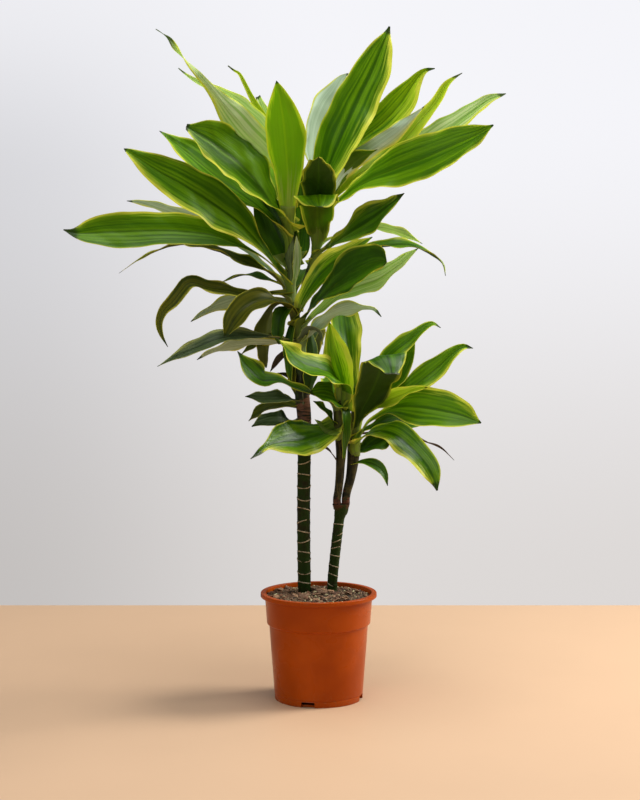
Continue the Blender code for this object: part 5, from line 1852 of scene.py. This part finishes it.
@dataclass
class Pot:
    """The nursery pot: a rolled lip over a collar, a step, a tapering body and a groove over its foot.

    The sizes are in metres and the angles in degrees. The cutter of a drain slot reaches a little below the
    pot and has rounded upper edges.
    """

    rim_radius: float = 0.085
    height: float = 0.157
    lip_height: float = 0.006
    collar_top: float = 0.0785
    collar_foot: float = 0.0757
    collar_foot_height: float = 0.1115
    body_top: float = 0.0722
    base_radius: float = 0.0644
    groove_height: float = 0.009
    groove_depth: float = 0.0008
    wall: float = 0.0020
    floor: float = 0.0030
    slots: int = 4
    slot_size: Point = (0.012, 0.020, 0.009)
    slot_rounding: float = 0.002
    slot_below: float = 0.001
    first_slot: float = -104.0
    sharp: float = 42.0
    steps: int = 192

    def profile(self) -> list[tuple[float, float, float]]:
        """The pot's section: radius, height and the rounding of each corner.

        Returns:
            The corners in order.
        """
        lip = self.height - self.lip_height
        return [
            (self.rim_radius - 0.0002, self.height, 0.0012),
            (self.rim_radius, lip, 0.0011),
            (self.collar_top, lip - 0.0004, 0.0006),
            (self.collar_foot, self.collar_foot_height + 0.0004, 0.0012),
            (self.body_top + 0.0002, self.collar_foot_height - 0.0012, 0.0010),
            (self.base_radius + 0.0006, self.groove_height + 0.0012, 0.0003),
            (self.base_radius + 0.0006 - self.groove_depth, self.groove_height, 0.0002),
            (self.base_radius + 0.0004, self.groove_height - 0.0012, 0.0003),
            (self.base_radius, 0.0, 0.0012),
            (0.0, 0.0, 0.0),
            (0.0, self.floor, 0.0),
            (self.base_radius - self.wall, self.floor, 0.002),
            (self.body_top - self.wall, self.collar_foot_height - 0.003, 0.001),
            (self.collar_foot - self.wall, self.collar_foot_height, 0.001),
            (self.collar_top - self.wall, lip, 0.0008),
            (self.collar_top - self.wall + 0.001, self.height, 0.0006),
        ]

    def rounded(self) -> list[tuple[float, float]]:
        """The section with its corners rounded.

        Returns:
            The radius and height of each point.
        """
        corners = self.profile()
        points: list[tuple[float, float]] = []
        for i, (r, z, round_by) in enumerate(corners):
            if not round_by:
                points.append((r, z))
                continue
            here = Vector((r, z))
            before, after = Vector(corners[i - 1][:2]), Vector(corners[(i + 1) % len(corners)][:2])
            a = here + (before - here).normalized() * min(round_by, (before - here).length * 0.45)
            b = here + (after - here).normalized() * min(round_by, (after - here).length * 0.45)
            for s in np.linspace(0, 1, 5):
                p = a.lerp(here, s).lerp(here.lerp(b, s), s)
                points.append((p.x, p.y))
        return points

    def build(self, finish: Material, doubled: float = 2e-6) -> None:
        """Turn the section, cut the drain slots and dress the pot.

        Args:
            finish: the plastic.
            doubled: how near doubled points lie.
        """
        section = self.rounded()
        turns = [math.tau * i / self.steps for i in range(self.steps)]
        rows = [[round_place(r, angle, z) for r, z in section] for angle in turns]
        pot = mended(grid_object("pot_shell", [*rows, rows[0]], finish, closed=True), doubled)
        cutters = []
        for i in range(self.slots):
            angle = math.radians(self.first_slot + 360 / self.slots * i)
            cutter = self.slot_cutter(f"drain_slot_{i + 1}", angle)
            cut = pot.modifiers.new(cutter.name, "BOOLEAN")
            cut.operation, cut.object, cut.solver = "DIFFERENCE", cutter, "EXACT"
            cutters.append(cutter)
        apply_modifiers(pot)
        for cutter in cutters:
            bpy.data.objects.remove(cutter, do_unlink=True)
        pot.data.set_sharp_from_angle(angle=math.radians(self.sharp))
        place_piece(pot, "pot")

    def slot_cutter(self, name: str, angle: float) -> Object:
        """A rounded block that cuts one drain slot.

        Args:
            name: the cutter's name.
            angle: where round the pot it cuts.

        Returns:
            The cutter.
        """
        shape = bmesh.new()
        bmesh.ops.create_cube(shape, size=1.0)
        shape.transform(Matrix.Diagonal((*self.slot_size, 1)))
        least = self.slot_size[0] / 2
        lengthwise = [e for e in shape.edges if abs(e.verts[0].co.x - e.verts[1].co.x) > least]
        top = [e for e in lengthwise if e.verts[0].co.z > 0]
        bmesh.ops.bevel(shape, geom=top, offset=self.slot_rounding, segments=4, affect="EDGES", profile=0.5)
        place = Matrix.Translation((self.base_radius, 0, self.slot_size[2] / 2 - self.slot_below))
        shape.transform(Matrix.Rotation(angle, 4, "Z") @ place)
        mesh = bpy.data.meshes.new(name)
        shape.to_mesh(mesh)
        shape.free()
        return new_object(name, mesh)


@dataclass(frozen=True)
class EarthFinish(Finish):
    """Potting mix or one of the things that lie in it: each bit its own shade between two colours."""

    dark: Colour
    light: Colour
    roughness: float = 0.92
    scale: float = 700.0

    def paint(self, sheet: NodeSheet) -> None:
        """Draw each bit's shade and its crumbly surface.

        Args:
            sheet: the material's sheet.
        """
        place = sheet.object_place()
        fine = sheet.noise(place, self.scale, 4.0, 0.65)
        broad = sheet.noise(place, self.scale * 0.12, 3.0)
        share = sheet.attribute("bit") * 0.6 + broad * 0.5 - 0.35
        share = sheet.math("MULTIPLY_ADD", fine, 0.6, share, clamp=True)
        rough = fine.ramp(0.3, 0.7, self.roughness - 0.12, self.roughness)
        sheet.coat(sheet.mix(share, self.dark, self.light), rough, fine, 0.8, 0.0008)


@dataclass(frozen=True)
class Scatter:
    """One kind of bit strewn over the soil.

    Attributes:
        name: the piece's name.
        count: how many for each square metre.
        sizes: the smallest and largest half length in metres.
        shape: how long, wide and thick a bit is.
        finish: its finish.
        seed: for the strewing.
        proud: how far it stands out of the soil, as a share of its size.
    """

    name: str
    count: float
    sizes: tuple[float, float]
    shape: Point
    finish: EarthFinish
    seed: int
    proud: float = 0.2


@dataclass
class Soil:
    """The potting mix: a low mound of crumbs with bark chips and pale grit.

    Attributes:
        top: the height of the mound's edge.
        mound: how much higher its middle is.
        edge_radius: of the mound.
        inner_radius: of the pot at the soil.
        foot: the height of the underside.
        canes: where each cane stands, and how wide a gap the bits leave for it.
        rings: the rings of points.
        steps: the points in a ring.
        grain: how far a point strays in height.
        bare_edge: the width of the ring inside the edge that the bits leave free.
        drop: how far below the mound's edge a face may lie and still carry bits.
        scatters: what is strewn over it.
    """

    top: float = 0.150
    mound: float = 0.004
    edge_radius: float = 0.0757
    inner_radius: float = 0.0785
    foot: float = 0.120
    canes: tuple[Point, ...] = ((-0.020, 0.018, 0.0115), (0.020, 0.025, 0.0092))
    rings: int = 90
    steps: int = 220
    grain: float = 0.00045
    bare_edge: float = 0.0022
    drop: float = 0.003
    scatters: tuple[Scatter, ...] = (
        Scatter("soil_crumbs", 90000, (0.0006, 0.0017), (1.0, 0.9, 0.8),
                EarthFinish("soil_crumb", (0.020, 0.010, 0.005), (0.33, 0.200, 0.100)), 3),
        Scatter("soil_clods", 5200, (0.0018, 0.0042), (1.2, 0.9, 0.7),
                EarthFinish("soil_clod", (0.010, 0.004, 0.002), (0.26, 0.120, 0.056)), 5),
        Scatter("bark_chips", 3600, (0.0026, 0.0065), (1.5, 0.7, 0.28),
                EarthFinish("bark_chip", (0.045, 0.018, 0.008), (0.44, 0.240, 0.12), 0.8), 8, 0.35),
        Scatter("pale_grit", 5200, (0.0008, 0.0021), (1.1, 0.9, 0.8),
                EarthFinish("pale_grit", (0.34, 0.28, 0.12), (0.68, 0.60, 0.34), 0.8), 13, 0.5),
    )

    def height(self, x: float, y: float) -> float:
        """The surface's height at a place, as the solid has it.

        Args:
            x: how far right of the pot's axis.
            y: how far behind it.

        Returns:
            The height.
        """
        r = math.hypot(x, y) / self.inner_radius
        bumps = 0.0012 * math.sin(95 * x + 1.0) * math.cos(80 * y) + 0.0009 * math.sin(190 * x - 150 * y)
        return self.top + self.mound * (1 - r * r) + bumps * (1 - r**4)

    def build(self) -> None:
        """Build the mound and strew the bits over it."""
        ground = self.bed()
        tree = self.strewing()
        for scatter in self.scatters:
            values = {
                "Count": scatter.count, "Smallest": scatter.sizes[0], "Largest": scatter.sizes[1],
                "Long": scatter.shape[0], "Wide": scatter.shape[1], "Thick": scatter.shape[2],
                "Proud": scatter.proud, "Seed": scatter.seed, "Finish": scatter.finish.make(),
            }
            obj = new_object(scatter.name, ground.data.copy())
            place_piece(grow_with(obj, tree, values), "soil")
        place_piece(ground, "soil")

    def bed(self) -> Object:
        """Build the mound itself, closed below.

        Returns:
            The mound.
        """
        finish = EarthFinish("soil_bed", (0.012, 0.006, 0.003), (0.12, 0.080, 0.040)).make()
        draw = np.random.default_rng(4)
        rows = []
        for k in range(self.rings + 1):
            row = []
            for i in range(self.steps):
                p = round_place(self.edge_radius * max(k, 0.02) / self.rings, math.tau * i / self.steps, 0.0)
                p.z = self.height(p.x, p.y) + (draw.normal(0, self.grain) if 0 < k < self.rings else 0.0)
                row.append(p)
            rows.append(row)
        rows += [[Vector((p.x * share, p.y * share, self.foot)) for p in rows[-1]] for share in (1.0, 0.001)]
        return mended(grid_object("soil_bed", rows, finish, closed=True))

    def strewing(self) -> NodeTree:
        """Build the tree that strews lumpy bits over the mound's upper side, clear of the canes.

        Returns:
            The geometry tree.
        """
        measures = ("Count", "Smallest", "Largest", "Long", "Wide", "Thick", "Proud")
        sheet, get, given = new_growth("strewing", {**dict.fromkeys(measures, 0.0), "Seed": 0})
        place = sheet.position()
        at = sheet.parts(place)
        away = sheet.vector("LENGTH", sheet.add("ShaderNodeCombineXYZ", X=at["X"], Y=at["Y"]))
        chosen = (at["Z"] > self.top - self.drop) * (away < self.edge_radius - self.bare_edge)
        for x, y, clear in self.canes:
            gap = sheet.add("ShaderNodeCombineXYZ", X=at["X"] - x, Y=at["Y"] - y)
            chosen = chosen * (sheet.vector("LENGTH", gap) > clear)
        seed = {"Seed": get["Seed"]}
        spots = sheet.add("GeometryNodeDistributePointsOnFaces", Mesh=get["Geometry"], **seed)
        spots.feed("Selection", chosen)
        spots.feed("Density", get["Count"])
        ball = sheet.add("GeometryNodeMeshIcoSphere", Radius=1.0, Subdivisions=2)
        size = sheet.add("FunctionNodeRandomValue", {"data_type": "FLOAT"}, **seed)[1]
        size.feed(2, get["Smallest"])
        size.feed(3, get["Largest"])
        turn = sheet.add("FunctionNodeRandomValue", {"data_type": "FLOAT_VECTOR"}, **seed)[0]
        turn.feed(0, (-0.5, -0.5, 0.0))
        turn.feed(1, (0.5, 0.5, math.tau))
        share = sheet.add("FunctionNodeRandomValue", {"data_type": "FLOAT"}, Seed=get["Seed"] + 1.0)[1]
        span = sheet.add("ShaderNodeCombineXYZ", X=get["Long"], Y=get["Wide"], Z=get["Thick"])
        marked = sheet.store(sheet.store(spots["Points"], "bit", share), "bulk", size)
        bits = sheet.add(
            "GeometryNodeInstanceOnPoints", Points=marked, Instance=ball["Mesh"], Rotation=turn,
            Scale=sheet.vector("SCALE", span, size),
        )
        real = sheet.add("GeometryNodeRealizeInstances", Geometry=bits)
        bulk = sheet.named("bulk")
        push = sheet.vector("SUBTRACT", sheet.noise(place, 420.0)["Color"], MIDDLE)
        lift = sheet.add("ShaderNodeCombineXYZ", Z=bulk * get["Proud"])
        push = sheet.vector("ADD", sheet.vector("SCALE", push, bulk), lift)
        return hand_out(sheet.add("GeometryNodeSetPosition", Geometry=real, Offset=push), get, given)


@dataclass(frozen=True)
class FloorFinish(Finish):
    """A plain warm floor with a faint mottle."""

    name: str = "pale_floor"
    colour: Colour = (0.595, 0.390, 0.240)

    def paint(self, sheet: NodeSheet) -> None:
        """Draw the mottle.

        Args:
            sheet: the material's sheet.
        """
        mottle = sheet.noise(sheet.object_place(), 6.0, 3.0)
        shader = sheet.own("Principled BSDF")
        shader.feed("Base Color", sheet.mix(mottle, self.colour, between(self.colour, BLACK, 0.05)))
        shader.feed("Roughness", 0.55)


@dataclass(frozen=True)
class Softbox:
    """One soft light.

    Attributes:
        name: the light's name.
        place: where it hangs.
        aim: what it points at.
        size: its side.
        power: in watts.
        colour: of its light.
    """

    name: str
    place: Point
    aim: Point
    size: float
    power: float
    colour: Colour

    def hang(self) -> None:
        """Hang the light."""
        data = bpy.data.lights.new(self.name, "AREA")
        data.shape, data.size, data.energy, data.color = "SQUARE", self.size, self.power, self.colour
        obj = new_object(self.name, data)
        obj.location = self.place
        obj.rotation_euler = (Vector(self.aim) - Vector(self.place)).to_track_quat("-Z", "Y").to_euler()


@dataclass
class Studio:
    """The plain pale floor, the soft lights and the camera at the photograph's place.

    Attributes:
        lights: the large key right of the plant and a little behind it, the weaker fill left of the
            camera, and the one overhead.
        floor_box: the floor's half width, and where it starts and ends in front of and behind the plant.
        backdrop: its colour low down, darkened there as painted shade, and high up.
        around: the faint light from the camera's side and from the backdrop's.
        flags: the share of that light which black flags keep out of reflections.
    """

    lights: tuple[Softbox, ...] = (
        Softbox("key_softbox", (1.9, 0.45, 1.7), (0.0, 0.0, 0.55), 1.0, 74.0, (1.0, 0.985, 0.95)),
        Softbox("fill_softbox", (-1.2, -2.3, 1.5), (0.0, 0.0, 0.5), 1.4, 12.0, (0.96, 0.98, 1.0)),
        Softbox("top_softbox", (0.15, -0.25, 2.4), (0.0, 0.0, 0.5), 1.2, 36.0, (1.0, 1.0, 1.0)),
    )
    floor_box: Point = (2.4, -3.2, 0.67)
    backdrop: tuple[Colour, Colour] = ((0.72, 0.69, 0.675), (0.912, 0.912, 0.95))
    around: tuple[float, float] = (0.24, 0.60)
    flags: float = 0.75

    def build(self) -> None:
        """Build the floor, lights, world and camera."""
        self.floor()
        for light in self.lights:
            light.hang()
        self.world()
        self.camera()
        bpy.context.scene.view_settings.view_transform = "Standard"

    def world(self) -> None:
        """Show the camera a bright backdrop with painted shade, darker below and to the left, that faintly
        lights the plant.
        """
        world = bpy.data.worlds.new("studio")
        bpy.context.scene.world = world
        world.use_nodes = True
        sheet = NodeSheet(world.node_tree)
        way = sheet.parts(sheet.add("ShaderNodeTexCoord")["Generated"])
        # Painted shade: the backdrop's colour darkens from high up towards the floor.
        seen = sheet.mix(way["Z"].ramp(-0.2, 0.08), *self.backdrop)
        # Painted shade: the backdrop darkens towards the left, most strongly low down.
        left = way["X"].ramp(-0.19, 0.02, 0.24, 0.0) * way["Z"].ramp(0.03, 0.14, 1.0, 0.3)
        seen = sheet.mix(left, seen, BLACK)
        front, behind = ((0.96 * level, 0.98 * level, level) for level in self.around)
        dim = sheet.mix(way["Y"].ramp(-0.1, 0.7), front, behind)
        ray = sheet.add("ShaderNodeLightPath")
        dim = sheet.mix(ray["Is Glossy Ray"] * self.flags, dim, BLACK)
        back = sheet.own("Background")
        back.feed("Color", sheet.mix(ray["Is Camera Ray"], dim, seen))
        back.feed("Strength", 1.0)

    def floor(self) -> None:
        """Lay the floor."""
        side, front, back = self.floor_box
        corners = [(-side, front, 0), (side, front, 0), (side, back, 0), (-side, back, 0)]
        obj = mesh_object("floor", corners, [], [(0, 1, 2, 3)])
        obj.data.materials.append(FloorFinish().make())

    def camera(self) -> None:
        """Set the camera where the photograph was taken from."""
        data = bpy.data.cameras.new("photo_camera")
        data.sensor_fit = "VERTICAL"
        data.sensor_height = SENSOR_HEIGHT
        data.lens = FOCAL_PIXELS * SENSOR_HEIGHT / PIXELS_HIGH
        obj = new_object("photo_camera", data)
        obj.location = CAMERA_PLACE
        obj.rotation_euler = (math.radians(90 - CAMERA_PITCH_DOWN), 0, 0)
        bpy.context.scene.camera = obj


def corners(bounds: Iterable[Iterable[float]]) -> list[list[float]]:
    """The two corners of a box as plain lists."""
    return [[round(float(c), 6) for c in corner] for corner in bounds]


def main() -> None:
    """Build the plant piece by piece, then the studio."""
    logging.basicConfig(level=logging.INFO, format="%(name)s: %(message)s")
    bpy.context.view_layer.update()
    Pot().build(PotFinish().make())
    Soil().build()
    stems, blades = StemMaker(), BladeMaker()
    cork, bark = ScarFinish().make(), BarkFinish().make()
    tall = Cane("tall_cane", TALL_CANE_LINE, TALL_SCARS, radius=0.0095, top_radius=0.0095, seed=21)
    tall.build(stems, bark, cork)
    forked = BarkFinish("forked_cane_bark", fork_from=0.272).make()
    short = Cane("short_cane", SHORT_CANE_LINE, SHORT_SCARS, radius=0.0074, top_radius=0.0128, seed=22)
    short.build(stems, forked, cork)
    tall_skin, short_skin = TALL_SKIN.make(), SHORT_SKIN.make()
    LeafyHead("tall_left_head", TALL_LEFT_STEM, TALL_LEFT_LEAVES).build(stems, blades, tall_skin)
    LeafyHead("tall_right_head", TALL_RIGHT_STEM, TALL_RIGHT_LEAVES).build(stems, blades, tall_skin)
    LeafyHead("short_left_head", SHORT_LEFT_STEM, SHORT_LEFT_LEAVES).build(stems, blades, short_skin)
    LeafyHead("short_right_head", SHORT_RIGHT_STEM, SHORT_RIGHT_LEAVES).build(stems, blades, short_skin)
    Studio().build()


if __name__ == "__main__":
    main()
